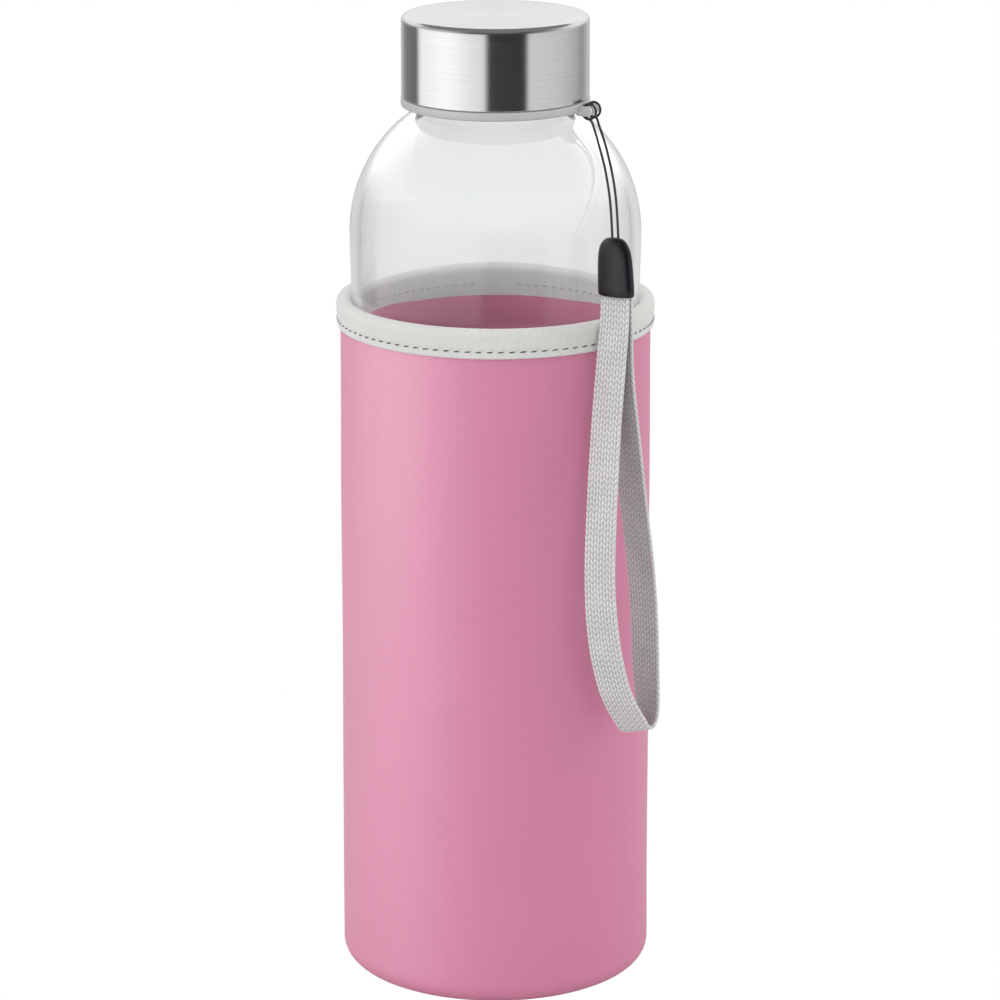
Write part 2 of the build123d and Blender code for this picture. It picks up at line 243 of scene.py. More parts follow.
class Graph:
    """A thin hand on a node tree: adds nodes, sets their sockets and links them."""

    def __init__(self, tree: bpy.types.NodeTree) -> None:
        """Takes the tree to work in."""
        self.tree = tree

    def add(self, kind: str, inputs: Optional[dict] = None, **settings: object) -> bpy.types.Node:
        """Adds a node.

        Args:
            kind: the node's class name without its ShaderNode prefix.
            inputs: socket name or index to a value or to another node's output socket.
            **settings: the node's own properties.

        Returns:
            The new node.
        """
        node = self.tree.nodes.new("ShaderNode" + kind)
        for key, value in settings.items():
            setattr(node, key, value)
        for key, value in (inputs or {}).items():
            if isinstance(value, bpy.types.NodeSocket):
                self.tree.links.new(value, node.inputs[key])
            else:
                node.inputs[key].default_value = value
        return node

    def link(self, socket: bpy.types.NodeSocket, shader: bpy.types.Node, name: str) -> None:
        """Feeds one of a shader's inputs."""
        self.tree.links.new(socket, shader.inputs[name])

    def tint(self, colour: Colour, shade: bpy.types.NodeSocket) -> bpy.types.NodeSocket:
        """Multiplies one colour by a shade and returns the result."""
        node = self.add("Mix", {"Factor": 1.0, 7: shade}, data_type="RGBA", blend_type="MULTIPLY")
        node.inputs[6].default_value = (*colour, 1)
        return node.outputs[2]

    def math(self, operation: str, *values: object) -> bpy.types.NodeSocket:
        """Adds a Math node on up to three values or sockets and returns its output."""
        node = self.add("Math", dict(enumerate(values)), operation=operation)
        return node.outputs[0]

    def blend(self, factor: object, low: object, high: object) -> bpy.types.NodeSocket:
        """Mixes two colours by a factor and returns the mixed colour."""
        node = self.add("Mix", data_type="RGBA")
        for index, value in ((0, factor), (6, low), (7, high)):
            if isinstance(value, bpy.types.NodeSocket):
                self.tree.links.new(value, node.inputs[index])
            elif index == 0:
                node.inputs[index].default_value = value
            else:
                node.inputs[index].default_value = (*value, 1)
        return node.outputs[2]


def new_group(name: str, inputs: dict[str, tuple[str, object]], outputs: dict[str, str]) -> tuple:
    """Makes an empty shader node group with named sockets.

    Args:
        name: the group's name.
        inputs: socket name to its type (Float, Vector or Color) and its first value.
        outputs: socket name to its type.

    Returns:
        The group, a Graph on it, its input node and its output node.
    """
    group = bpy.data.node_groups.new(name, "ShaderNodeTree")
    for label, (kind, value) in inputs.items():
        socket = group.interface.new_socket(label, in_out="INPUT", socket_type="NodeSocket" + kind)
        if value is not None:
            socket.default_value = value
    for label, kind in outputs.items():
        group.interface.new_socket(label, in_out="OUTPUT", socket_type="NodeSocket" + kind)
    graph = Graph(group)
    entry = group.nodes.new("NodeGroupInput")
    leave = group.nodes.new("NodeGroupOutput")
    return group, graph, entry, leave


def build_wrap_group() -> bpy.types.NodeTree:
    """Group: flat coordinates of a round surface, as arc length, height and radius."""
    group, graph, entry, leave = new_group(
        "wrap_round", {"Radius": ("Float", 0.035)}, {"Flat": "Vector"}
    )
    place = graph.add("TexCoord").outputs["Object"]
    parts = graph.add("SeparateXYZ", {0: place})
    x, y, z = parts.outputs
    angle = graph.math("ARCTAN2", y, x)
    arc = graph.math("MULTIPLY", angle, entry.outputs["Radius"])
    square = graph.math("ADD", graph.math("MULTIPLY", x, x), graph.math("MULTIPLY", y, y))
    reach = graph.math("SQRT", square)
    flat = graph.add("CombineXYZ", {0: arc, 1: z, 2: reach})
    group.links.new(flat.outputs[0], leave.inputs["Flat"])
    return group


def build_cloth_group() -> bpy.types.NodeTree:
    """Group: fine knit relief with lint, slow colour drift and painted shade in the knit's dips, on
    flat coordinates.
    """
    group, graph, entry, leave = new_group(
        "fine_knit",
        {
            "Flat": ("Vector", None),
            "Stitch": ("Float", 0.0005),
            "Drift": ("Float", 0.08),
            "Lint": ("Float", 0.2),
        },
        {"Height": "Float", "Shade": "Float"},
    )
    parts = graph.add("SeparateXYZ", {0: entry.outputs["Flat"]})
    turns = graph.math("DIVIDE", math.tau, entry.outputs["Stitch"])
    across = graph.math("MULTIPLY", parts.outputs[0], turns)
    up = graph.math("MULTIPLY", parts.outputs[1], turns)
    wale = graph.math("ABSOLUTE", graph.math("SINE", graph.math("MULTIPLY", across, 0.5)))
    lean = graph.math("MULTIPLY", wale, 1.6)
    course = graph.math("SINE", graph.math("ADD", graph.math("MULTIPLY", up, 0.8), lean))
    knit = graph.math("MULTIPLY_ADD", course, 0.35, wale)
    lint = graph.add(
        "TexNoise", {"Vector": entry.outputs["Flat"], "Scale": 2600.0, "Detail": 3.0}
    ).outputs[0]
    slow = graph.add(
        "TexNoise", {"Vector": entry.outputs["Flat"], "Scale": 38.0, "Detail": 4.0}
    ).outputs[0]
    height = graph.math("MULTIPLY_ADD", lint, entry.outputs["Lint"], knit)
    swing = graph.math("SUBTRACT", slow, 0.5)
    shade = graph.math("MULTIPLY_ADD", swing, entry.outputs["Drift"], 1.0)
    # painted shade: the colour darkens a little in the knit's dips
    dips = graph.math("MULTIPLY_ADD", graph.math("SUBTRACT", knit, 0.6), 0.05, shade)
    speck = graph.math("MULTIPLY_ADD", graph.math("SUBTRACT", lint, 0.5), 0.12, dips)
    group.links.new(height, leave.inputs["Height"])
    group.links.new(speck, leave.inputs["Shade"])
    return group


def build_scuff_group() -> bpy.types.NodeTree:
    """Group: faint handling marks as a change of roughness and a fine relief."""
    group, graph, entry, leave = new_group(
        "handling_marks",
        {"Rest": ("Float", 0.4), "Spread": ("Float", 0.1), "Scale": ("Float", 300.0)},
        {"Roughness": "Float", "Height": "Float"},
    )
    place = graph.add("TexCoord").outputs["Object"]
    broad = graph.add("TexNoise", {"Vector": place, "Scale": entry.outputs["Scale"], "Detail": 5.0})
    swing = graph.math("SUBTRACT", broad.outputs[0], 0.5)
    rough = graph.math("MULTIPLY_ADD", swing, entry.outputs["Spread"], entry.outputs["Rest"])
    fine = graph.add("TexNoise", {"Vector": place, "Scale": 5200.0, "Detail": 2.0})
    group.links.new(rough, leave.inputs["Roughness"])
    group.links.new(fine.outputs[0], leave.inputs["Height"])
    return group


class Groups:
    """The shared node groups, built once."""

    def __init__(self) -> None:
        """Builds every group."""
        self.wrap = build_wrap_group()
        self.cloth = build_cloth_group()
        self.scuff = build_scuff_group()

    @staticmethod
    def place(graph: Graph, group: bpy.types.NodeTree, inputs: dict) -> bpy.types.Node:
        """Adds a group to a material's graph with its own values."""
        return graph.add("Group", inputs, node_tree=group)


def new_material(name: str) -> tuple[bpy.types.Material, Graph, bpy.types.Node]:
    """Makes a material and returns it with its graph and its Principled shader."""
    material = bpy.data.materials.new(name)
    material.use_nodes = True
    tree = material.node_tree
    shader = next(node for node in tree.nodes if node.type == "BSDF_PRINCIPLED")
    return material, Graph(tree), shader


def dress(piece: bpy.types.Object, material: bpy.types.Material) -> None:
    """Gives a piece one material in every slot."""
    slots = piece.data.materials
    if not len(slots):
        slots.append(material)
    for index in range(len(slots)):
        slots[index] = material


# ------------------------------------------------------------------ finishes
@dataclass(frozen=True)
class Cloth:
    """A knitted or woven cloth finish for a round piece."""

    name: str
    colour: Colour
    stitch: float
    radius: float = 0.035
    relief: float = 0.00006
    drift: float = 0.10
    lint: float = 0.25
    roughness: float = 0.85
    sheen: float = 0.25
    specular: float = 0.5

    def build(self, groups: Groups) -> bpy.types.Material:
        """Builds the material from the shared groups."""
        material, graph, shader = new_material(self.name)
        flat = Groups.place(graph, groups.wrap, {"Radius": self.radius}).outputs["Flat"]
        knit = Groups.place(
            graph,
            groups.cloth,
            {"Flat": flat, "Stitch": self.stitch, "Drift": self.drift, "Lint": self.lint},
        )
        # the knit's Shade output holds random tone, lint specks and painted shade in the dips
        graph.link(graph.tint(self.colour, knit.outputs["Shade"]), shader, "Base Color")
        bump = graph.add("Bump", {"Height": knit.outputs["Height"], "Distance": self.relief})
        graph.link(bump.outputs[0], shader, "Normal")
        shader.inputs["Roughness"].default_value = self.roughness
        shader.inputs["Specular IOR Level"].default_value = self.specular
        shader.inputs["Sheen Weight"].default_value = self.sheen
        shader.inputs["Sheen Roughness"].default_value = 0.4
        return material


@dataclass(frozen=True)
class RibbedTape:
    """Woven tape with fine upright ribs, painted shade in their valleys and painted highlight on
    their crests, for a ring round the rim.
    """

    name: str
    colour: Colour
    rib: float = 0.00055
    radius: float = 0.0357
    relief: float = 0.00009
    roughness: float = 0.8

    def build(self, groups: Groups) -> bpy.types.Material:
        """Builds the material from the shared groups."""
        material, graph, shader = new_material(self.name)
        flat = Groups.place(graph, groups.wrap, {"Radius": self.radius}).outputs["Flat"]
        parts = graph.add("SeparateXYZ", {0: flat})
        wave = graph.math("SINE", graph.math("MULTIPLY", parts.outputs[0], math.tau / self.rib))
        stretched = graph.add("Mapping", {"Vector": flat, "Scale": (1.0, 0.12, 0.12)})
        fibre = graph.add(
            "TexNoise", {"Vector": stretched.outputs[0], "Scale": 3800.0, "Detail": 3.0}
        ).outputs[0]
        height = graph.math("MULTIPLY_ADD", fibre, 1.4, wave)
        slow = graph.add("TexNoise", {"Vector": flat, "Scale": 90.0, "Detail": 3.0}).outputs[0]
        drift = graph.math("MULTIPLY_ADD", slow, 0.10, 0.93)
        # painted shade and highlight: the colour darkens in the rib valleys and lightens on the
        # crests
        shade = graph.math("MULTIPLY_ADD", wave, 0.035, drift)
        graph.link(graph.tint(self.colour, shade), shader, "Base Color")
        bump = graph.add("Bump", {"Height": height, "Distance": self.relief, "Strength": 0.6})
        graph.link(bump.outputs[0], shader, "Normal")
        shader.inputs["Roughness"].default_value = self.roughness
        shader.inputs["Sheen Weight"].default_value = 0.15
        return material


@dataclass(frozen=True)
class Plastic:
    """A moulded plastic or rubber finish with faint handling marks."""

    name: str
    colour: Colour
    roughness: float
    spread: float = 0.12
    relief: float = 0.00001
    coat: float = 0.0
    transmission: float = 0.0
    subsurface: float = 0.0

    def build(self, groups: Groups) -> bpy.types.Material:
        """Builds the material from the shared groups."""
        material, graph, shader = new_material(self.name)
        marks = Groups.place(
            graph, groups.scuff, {"Rest": self.roughness, "Spread": self.spread, "Scale": 400.0}
        )
        graph.link(marks.outputs["Roughness"], shader, "Roughness")
        bump = graph.add("Bump", {"Height": marks.outputs["Height"], "Distance": self.relief})
        graph.link(bump.outputs[0], shader, "Normal")
        shader.inputs["Base Color"].default_value = (*self.colour, 1)
        shader.inputs["Coat Weight"].default_value = self.coat
        shader.inputs["Transmission Weight"].default_value = self.transmission
        shader.inputs["Subsurface Weight"].default_value = self.subsurface
        shader.inputs["Subsurface Scale"].default_value = 0.002
        return material


@dataclass(frozen=True)
class BrushedSteel:
    """Stainless steel with fine brushing that runs round the cap."""

    name: str = "brushed_steel"
    colour: Colour = (0.74, 0.74, 0.735)
    roughness: float = 0.17
    anisotropy: float = 0.6
    relief: float = 0.000006

    def build(self, groups: Groups) -> bpy.types.Material:
        """Builds the material from the shared groups."""
        material, graph, shader = new_material(self.name)
        flat = Groups.place(graph, groups.wrap, {"Radius": 0.0208}).outputs["Flat"]
        lines = graph.add("Mapping", {"Vector": flat, "Scale": (18.0, 3200.0, 3200.0)})
        brush = graph.add(
            "TexNoise", {"Vector": lines.outputs[0], "Scale": 1.0, "Detail": 4.0, "Roughness": 0.7}
        ).outputs[0]
        swing = graph.math("SUBTRACT", brush, 0.5)
        rough = graph.math("MULTIPLY_ADD", swing, 0.12, self.roughness)
        shade = graph.math("MULTIPLY_ADD", swing, 0.26, 1.0)
        graph.link(graph.tint(self.colour, shade), shader, "Base Color")
        graph.link(rough, shader, "Roughness")
        bump = graph.add("Bump", {"Height": brush, "Distance": self.relief})
        graph.link(bump.outputs[0], shader, "Normal")
        tangent = graph.add("Tangent", direction_type="RADIAL", axis="Z")
        graph.link(tangent.outputs[0], shader, "Tangent")
        shader.inputs["Metallic"].default_value = 1.0
        shader.inputs["Anisotropic"].default_value = self.anisotropy
        shader.inputs["Anisotropic Rotation"].default_value = 0.25
        return material


@dataclass(frozen=True)
class ClearGlass:
    """Clear bottle glass with a faint unevenness."""

    name: str = "clear_glass"
    colour: Colour = (0.97, 0.98, 0.98)
    ior: float = 1.5
    relief: float = 0.00002

    def build(self, groups: Groups) -> bpy.types.Material:
        """Builds the material from the shared groups."""
        material, graph, shader = new_material(self.name)
        place = graph.add("TexCoord").outputs["Object"]
        sway = graph.add("TexNoise", {"Vector": place, "Scale": 45.0, "Detail": 1.0}).outputs[0]
        bump = graph.add("Bump", {"Height": sway, "Distance": self.relief})
        graph.link(bump.outputs[0], shader, "Normal")
        shader.inputs["Base Color"].default_value = (*self.colour, 1)
        shader.inputs["Roughness"].default_value = 0.0
        shader.inputs["IOR"].default_value = self.ior
        shader.inputs["Transmission Weight"].default_value = 1.0
        return material


@dataclass(frozen=True)
class Yarn:
    """Yarn with painted shade in its dips, read from the piece's own relief attribute."""

    name: str
    colour: Colour
    dip_shade_colour: Colour
    roughness: float = 0.8
    relief: float = 0.00003

    def build(self, groups: Groups) -> bpy.types.Material:
        """Builds the material from the shared groups."""
        material, graph, shader = new_material(self.name)
        relief = graph.add("Attribute", attribute_name="relief").outputs["Fac"]
        place = graph.add("TexCoord").outputs["Object"]
        fibre = graph.add("TexNoise", {"Vector": place, "Scale": 6000.0, "Detail": 3.0}).outputs[0]
        slow = graph.add("TexNoise", {"Vector": place, "Scale": 220.0, "Detail": 2.0}).outputs[0]
        swing = graph.math("SUBTRACT", slow, 0.5)
        # painted shade: the colour goes towards the dark dip colour where the relief is low; the
        # slow noise adds random tone
        level = graph.math("MULTIPLY_ADD", swing, 0.25, relief)
        colour = graph.blend(level, self.dip_shade_colour, self.colour)
        graph.link(colour, shader, "Base Color")
        bump = graph.add("Bump", {"Height": fibre, "Distance": self.relief})
        graph.link(bump.outputs[0], shader, "Normal")
        shader.inputs["Roughness"].default_value = self.roughness
        shader.inputs["Sheen Weight"].default_value = 0.2
        return material


class Finish(Enum):
    """Every finish on the object."""

    COVER = Cloth(
        "cover_knit", srgb(213, 128, 162), 0.0006, relief=0.00002, drift=0.06, roughness=0.55,
        sheen=0.10, specular=0.7,
    )
    LINING = Cloth("lining_knit", srgb(222, 124, 158), 0.0006, radius=0.0326, relief=0.00002)
    FOAM = Cloth("foam_edge", srgb(60, 60, 62), 0.0009, relief=0.00012, sheen=0.0)
    BINDING = RibbedTape("binding_tape", srgb(224, 224, 221))
    INNER_STITCH = Cloth("inner_stitch_thread", srgb(190, 190, 186), 0.0003, sheen=0.1)
    STITCH = Cloth("stitch_thread", srgb(104, 98, 98), 0.0003, sheen=0.1)
    SEAM = Cloth("seam_thread", srgb(196, 112, 146), 0.0003, sheen=0.1)
    GLASS = ClearGlass()
    STEEL = BrushedSteel()
    CAP_PLASTIC = Plastic("cap_plastic", srgb(226, 226, 224), 0.45, subsurface=0.2)
    SILICONE = Plastic("seal_silicone", srgb(232, 232, 230), 0.6, subsurface=0.3)
    RING_PLASTIC = Plastic("ring_plastic", srgb(212, 213, 213), 0.32, transmission=0.3)
    CORD = Cloth("braided_cord", srgb(58, 60, 63), 0.0004, relief=0.00008, sheen=0.1)
    END_CAP = Plastic("end_cap_plastic", srgb(10, 14, 21), 0.30, coat=0.0)
    # the second colour is the painted shade in the webbing's knit dips
    WEBBING = Yarn("webbing_yarn", srgb(240, 240, 238), srgb(146, 146, 146))


class Wardrobe:
    """Builds each finish the first time it is asked for."""

    def __init__(self) -> None:
        """Builds the shared groups."""
        self.groups = Groups()
        self.built: dict[Finish, bpy.types.Material] = {}

    def get(self, finish: Finish) -> bpy.types.Material:
        """Returns the finish's material."""
        if finish not in self.built:
            self.built[finish] = finish.value.build(self.groups)
        return self.built[finish]


@dataclass
class Part:
    """What every sub-assembly shares: its wardrobe and a way to dress a piece, make it ride on its
    body and hide the nodes it stands for.
    """

    wardrobe: Wardrobe

    def hand_in(
        self,
        piece: bpy.types.Object,
        finish: Finish,
        body: str,
        slot: str,
        nodes: Sequence[str] = (),
    ) -> bpy.types.Object:
        """Dresses a piece, makes it ride on its body and hides the nodes it stands for.

        Args:
            piece: the finished object.
            finish: its look.
            body: the CAD body that it moves with.
            slot: the record's material slot; not used.
            nodes: the CAD nodes that it replaces.

        Returns:
            The same piece.
        """
        dress(piece, self.wardrobe.get(finish))
        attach(piece, body)
        if nodes:
            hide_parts(*nodes)
        log.info("%s rides on %s", piece.name, body)
        return piece

    def repaint(self, node: str, finish: Finish) -> None:
        """Gives a CAD node that keeps its shape a better material."""
        dress(frame["nodes"][node], self.wardrobe.get(finish))
        log.info("%s keeps its shape", node)


# ------------------------------------------------------------------ sleeve
@dataclass
class Sleeve(Part):
    """The padded cloth sleeve: cover, pad, lining, base and seams."""

    body: str = "sleeve"
    segments: int = 192
    skin: float = 0.42 * MM
    gap: float = 0.03 * MM
    flare: float = 0.5 * MM
    foot_corner: float = 4.3 * MM
    swell: float = 0.16 * MM
    lining_skin: float = 0.4 * MM
    stitch_gap: float = 2.6 * MM
    zigzag_lean: float = math.radians(38)
    zigzag_length: float = 1.9 * MM
    zigzag_thickness: float = 0.22 * MM
    base_stitches: int = 72
    base_stitch_length: float = 2.2 * MM
    base_stitch_thickness: float = 0.20 * MM

    def outline(self, node: str, corner: float, top_in: float) -> Profile:
        """The outer line of a side layer, from its foot up to its top.

        Args:
            node: the CAD layer, for its box.
            corner: radius of the bend at the foot.
            top_in: how much narrower the layer is at its top.

        Returns:
            The line from the foot's flat part to the top edge.
        """
        low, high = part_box(node)
        radius = high[0]
        bend = round_arc((radius - corner, low[2] + corner), corner, -90, 0, BEND_STEPS)
        side = straight((radius, low[2] + corner), (radius - top_in, high[2]), 60)
        return [*bend, *side[1:]]

    def build_cover(self) -> bpy.types.Object:
        """The knitted cover, stretched over the pad, with the small swells that a pull leaves."""
        outer = self.outline("sleeve_cover", self.foot_corner, self.flare)
        inner = [(radius - self.skin, height) for radius, height in outer]
        bend = self.foot_corner - self.skin
        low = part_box("sleeve_cover")[0][2]
        foot_radius = outer[BEND_STEPS][0] - self.foot_corner
        inner[: BEND_STEPS + 1] = round_arc(
            (foot_radius, low + self.foot_corner), bend, -90, 0, BEND_STEPS
        )
        cover = turn_profile("sleeve_cover_cloth", shell_profile(outer, inner), self.segments)
        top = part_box("rim_binding")[0][2]

        def swell(point: Vector) -> Vector:
            """Slow unevenness of the padded wall, none at the foot and under the binding."""
            above = min(max(point.z / (20 * MM), 0), 1)
            below = min(max((top - point.z) / (12 * MM), 0), 1)
            share = above * below
            wave = noise.noise(Vector((point.x * 34, point.y * 34, point.z * 22)))
            scale = 1 + self.swell * share * wave / math.hypot(point.x, point.y)
            return Vector((point.x * scale, point.y * scale, point.z))

        move_points(cover, swell)
        return self.hand_in(cover, Finish.COVER, self.body, "cover_fabric", ["sleeve_cover"])

    def build_pad(self) -> bpy.types.Object:
        """The foam between the cover and the lining."""
        outer = self.outline("sleeve_pad", self.foot_corner - self.skin - self.gap, self.flare)
        lining_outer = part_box("sleeve_lining")[1][0] + self.gap
        lining_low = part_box("base_pad")[1][2]
        foot, top = outer[0][0], outer[-1][1]
        inner = [(foot, lining_low), (lining_outer, lining_low), (lining_outer, top)]
        pad = turn_profile("sleeve_pad_foam", shell_profile(outer, inner), self.segments)
        return self.hand_in(pad, Finish.FOAM, self.body, "foam", ["sleeve_pad"])

    def build_lining(self) -> bpy.types.Object:
        """The knitted lining that faces the glass."""
        low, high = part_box("sleeve_lining")
        outer = straight((high[0], low[2]), (high[0], high[2]), 30)
        inner = [(radius - self.lining_skin, height) for radius, height in outer]
        lining = turn_profile("sleeve_lining_cloth", shell_profile(outer, inner), self.segments)
        return self.hand_in(lining, Finish.LINING, self.body, "lining_fabric", ["sleeve_lining"])

    def build_base(self) -> list[bpy.types.Object]:
        """The three layers of the base disc, each with soft edges."""
        layers = (
            ("base_cover", Finish.COVER, "cover_fabric"),
            ("base_pad", Finish.FOAM, "foam"),
            ("base_lining", Finish.LINING, "lining_fabric"),
        )
        pieces = []
        for node, finish, slot in layers:
            low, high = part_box(node)
            edge = (high[2] - low[2]) * 0.4
            radius = high[0]
            profile = [
                (0, low[2]),
                *straight((radius * 0.1, low[2]), (radius - edge, low[2]), 12),
                *round_arc((radius - edge, low[2] + edge), edge, -90, 0, 4)[1:],
                *round_arc((radius - edge, high[2] - edge), edge, 0, 90, 4),
                *straight((radius - edge, high[2]), (radius * 0.1, high[2]), 12)[1:],
                (0, high[2]),
            ]
            disc = turn_profile(node + "_disc", profile, 96)
            pieces.append(self.hand_in(disc, finish, self.body, slot, [node]))
        return pieces

    def build_seams(self) -> list[bpy.types.Object]:
        """The zigzag stitches up the back of the cover and the stitches round the base."""
        low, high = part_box("side_seam_thread")
        master = stitch_master(self.zigzag_length, self.zigzag_thickness, 0.05 * MM)
        count = int((high[2] - low[2]) / self.stitch_gap)
        places = []
        for index in range(2 * count):
            height = low[2] + self.stitch_gap * (index + 0.5) / 2
            lean = self.zigzag_lean if index % 2 else -self.zigzag_lean
            share = (height - low[2]) / (high[2] - low[2])
            reach = high[1] - 0.10 * MM - (high[1] - low[1] - 0.18 * MM) * share
            stand = Matrix.Rotation(math.pi / 2, 4, "X") @ Matrix.Rotation(lean, 4, "Z")
            flip = Matrix.Rotation(math.pi, 4, "Z")
            places.append(Matrix.Translation((0, reach, height)) @ flip @ stand)
        side = copies_joined(master, places, "side_seam_stitches")
        low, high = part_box("base_seam_thread")
        ring = high[0] - 0.15 * MM
        master = stitch_master(self.base_stitch_length, self.base_stitch_thickness, 0.03 * MM)
        places = []
        for index in range(self.base_stitches):
            turn = Matrix.Rotation(math.tau * index / self.base_stitches, 4, "Z")
            along = Matrix.Rotation(math.pi / 2, 4, "Z") @ Matrix.Rotation(math.pi, 4, "X")
            places.append(turn @ Matrix.Translation((ring, 0, (low[2] + high[2]) / 2)) @ along)
        base = copies_joined(master, places, "base_seam_stitches")
        self.hand_in(side, Finish.SEAM, self.body, "seam_thread", ["side_seam_thread"])
        self.hand_in(base, Finish.SEAM, self.body, "seam_thread", ["base_seam_thread"])
        return [side, base]

    def build(self) -> bpy.types.Object:
        """Builds the sleeve and returns its cover."""
        cover = self.build_cover()
        self.build_pad()
        lining = self.build_lining()
        self.build_base()
        self.build_seams()
        return cover


@dataclass
class Binding(Part):
    """The folded tape round the sleeve's rim, with its sewn row and its lapped end."""

    body: str = "sleeve"
    stitches: int = 92
    steps_per_stitch: int = 8
    row_height: float = 1.6 * MM
    inner_row_height: float = 2.4 * MM
    inner_radius: float = 32.6 * MM
    roll: float = 1.35 * MM
    fold: float = 1.75 * MM
    hem: float = 0.4 * MM
    outer_leg: float = 0.95 * MM
    inner_leg: float = 0.38 * MM
    crest_thickness: float = 0.75 * MM
    pull: float = 0.30 * MM
    pull_width: float = 0.55 * MM
    unevenness: float = 0.07 * MM
    lap_half_angle: float = math.radians(7)
    lap_slope: float = math.radians(0.8)
    lap_thickness: float = 0.27 * MM
    stitch_length: float = 1.45 * MM
    stitch_thickness: float = 0.38 * MM
    stitch_lean: float = math.radians(7)
    tape_width: float = 16.5 * MM

    def outline(self) -> Profile:
        """The section of the folded tape: inner leg, rolled crest and outer leg."""
        low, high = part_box("rim_binding")
        inner, outer = self.inner_radius, high[0]
        floor, crest = low[2], high[2]
        roll_radius, fold_radius, hem_radius = self.roll, self.fold, self.hem
        inside = straight((inner, floor), (inner, crest - roll_radius - 0.05 * MM), 8)
        roll = round_arc((inner + roll_radius, crest - roll_radius), roll_radius, 180, 90, 6)
        fold = round_arc((outer - fold_radius, crest - fold_radius), fold_radius, 90, 0, 7)
        top, foot = crest - fold_radius - 0.15 * MM, floor + hem_radius + 0.1 * MM
        side = straight((outer, top), (outer - 0.1 * MM, foot), 12)
        hem = round_arc((outer - hem_radius - 0.1 * MM, floor + hem_radius), hem_radius, 0, -90, 3)
        back, front = outer - self.outer_leg, inner + self.inner_leg
        ceiling = crest - self.crest_thickness
        cavity = [(back, floor), (back, ceiling), (front, ceiling), (front, floor)]
        return [*inside, *roll, *fold, *side, *hem, *cavity, inside[0]]

    def build_tape(self) -> bpy.types.Object:
        """The tape, drawn in along the sewn row and thicker where its end laps at the back."""
        segments = self.stitches * self.steps_per_stitch
        tape = turn_profile("rim_binding_tape", self.outline(), segments, 50)
        low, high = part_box("rim_binding")
        row = low[2] + self.row_height
        outer_face, inner_face = high[0] - 1.2 * MM, self.inner_radius + 0.8 * MM

        def sew(point: Vector) -> Vector:
            """Draws the tape in at the sewn row and lifts the lapped end."""
            angle = math.atan2(point.y, point.x)
            reach = math.hypot(point.x, point.y)
            push = 0.0
            if reach > outer_face:
                near = math.exp(-(((point.z - row) / self.pull_width) ** 2))
                tight = 0.62 + 0.38 * math.cos(self.stitches * angle)
                push -= self.pull * near * tight
                wave = noise.noise(Vector((point.x * 90, point.y * 90, point.z * 40)))
                push += self.unevenness * (wave - 1)
            off = abs(math.remainder(angle - math.pi / 2, math.tau))
            if off < self.lap_half_angle and reach < inner_face:
                push -= self.lap_thickness * min(1.0, (self.lap_half_angle - off) / self.lap_slope)
            scale = (reach + push) / reach
            return Vector((point.x * scale, point.y * scale, point.z))

        move_points(tape, sew)
        return self.hand_in(tape, Finish.BINDING, self.body, "binding_tape", ["rim_binding"])

    def build_row(self) -> bpy.types.Object:
        """The visible row of stitches, outside and inside."""
        low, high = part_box("rim_binding")
        rows = (
            (high[0] - 0.24 * MM, low[2] + self.row_height, 1),
            (self.inner_radius - 0.04 * MM, low[2] + self.inner_row_height, -1),
        )
        sets = []
        for reach, height, side in rows:
            master = stitch_master(self.stitch_length, self.stitch_thickness, 0.12 * MM)
            places = []
            for index in range(self.stitches):
                angle = math.tau * (index + 0.5) / self.stitches
                turn = Matrix.Rotation(angle, 4, "Z")
                out = Matrix.Rotation(math.pi / 2 * side, 4, "Y")
                along = Matrix.Rotation(math.pi / 2, 4, "Z")
                tilt = Matrix.Rotation(self.stitch_lean, 4, "Z")
                places.append(turn @ Matrix.Translation((reach, 0, height)) @ out @ along @ tilt)
            sets.append(copies_joined(master, places, "binding_row"))
        outer, inner = sets
        outer.name = "binding_stitches"
        inner.name = "binding_stitches_inside"
        self.hand_in(inner, Finish.INNER_STITCH, self.body, "stitch_thread")
        return self.hand_in(outer, Finish.STITCH, self.body, "stitch_thread", ["binding_thread"])

    def build(self) -> None:
        """Builds the tape and its stitches."""
        tape = self.build_tape()
        row = self.build_row()


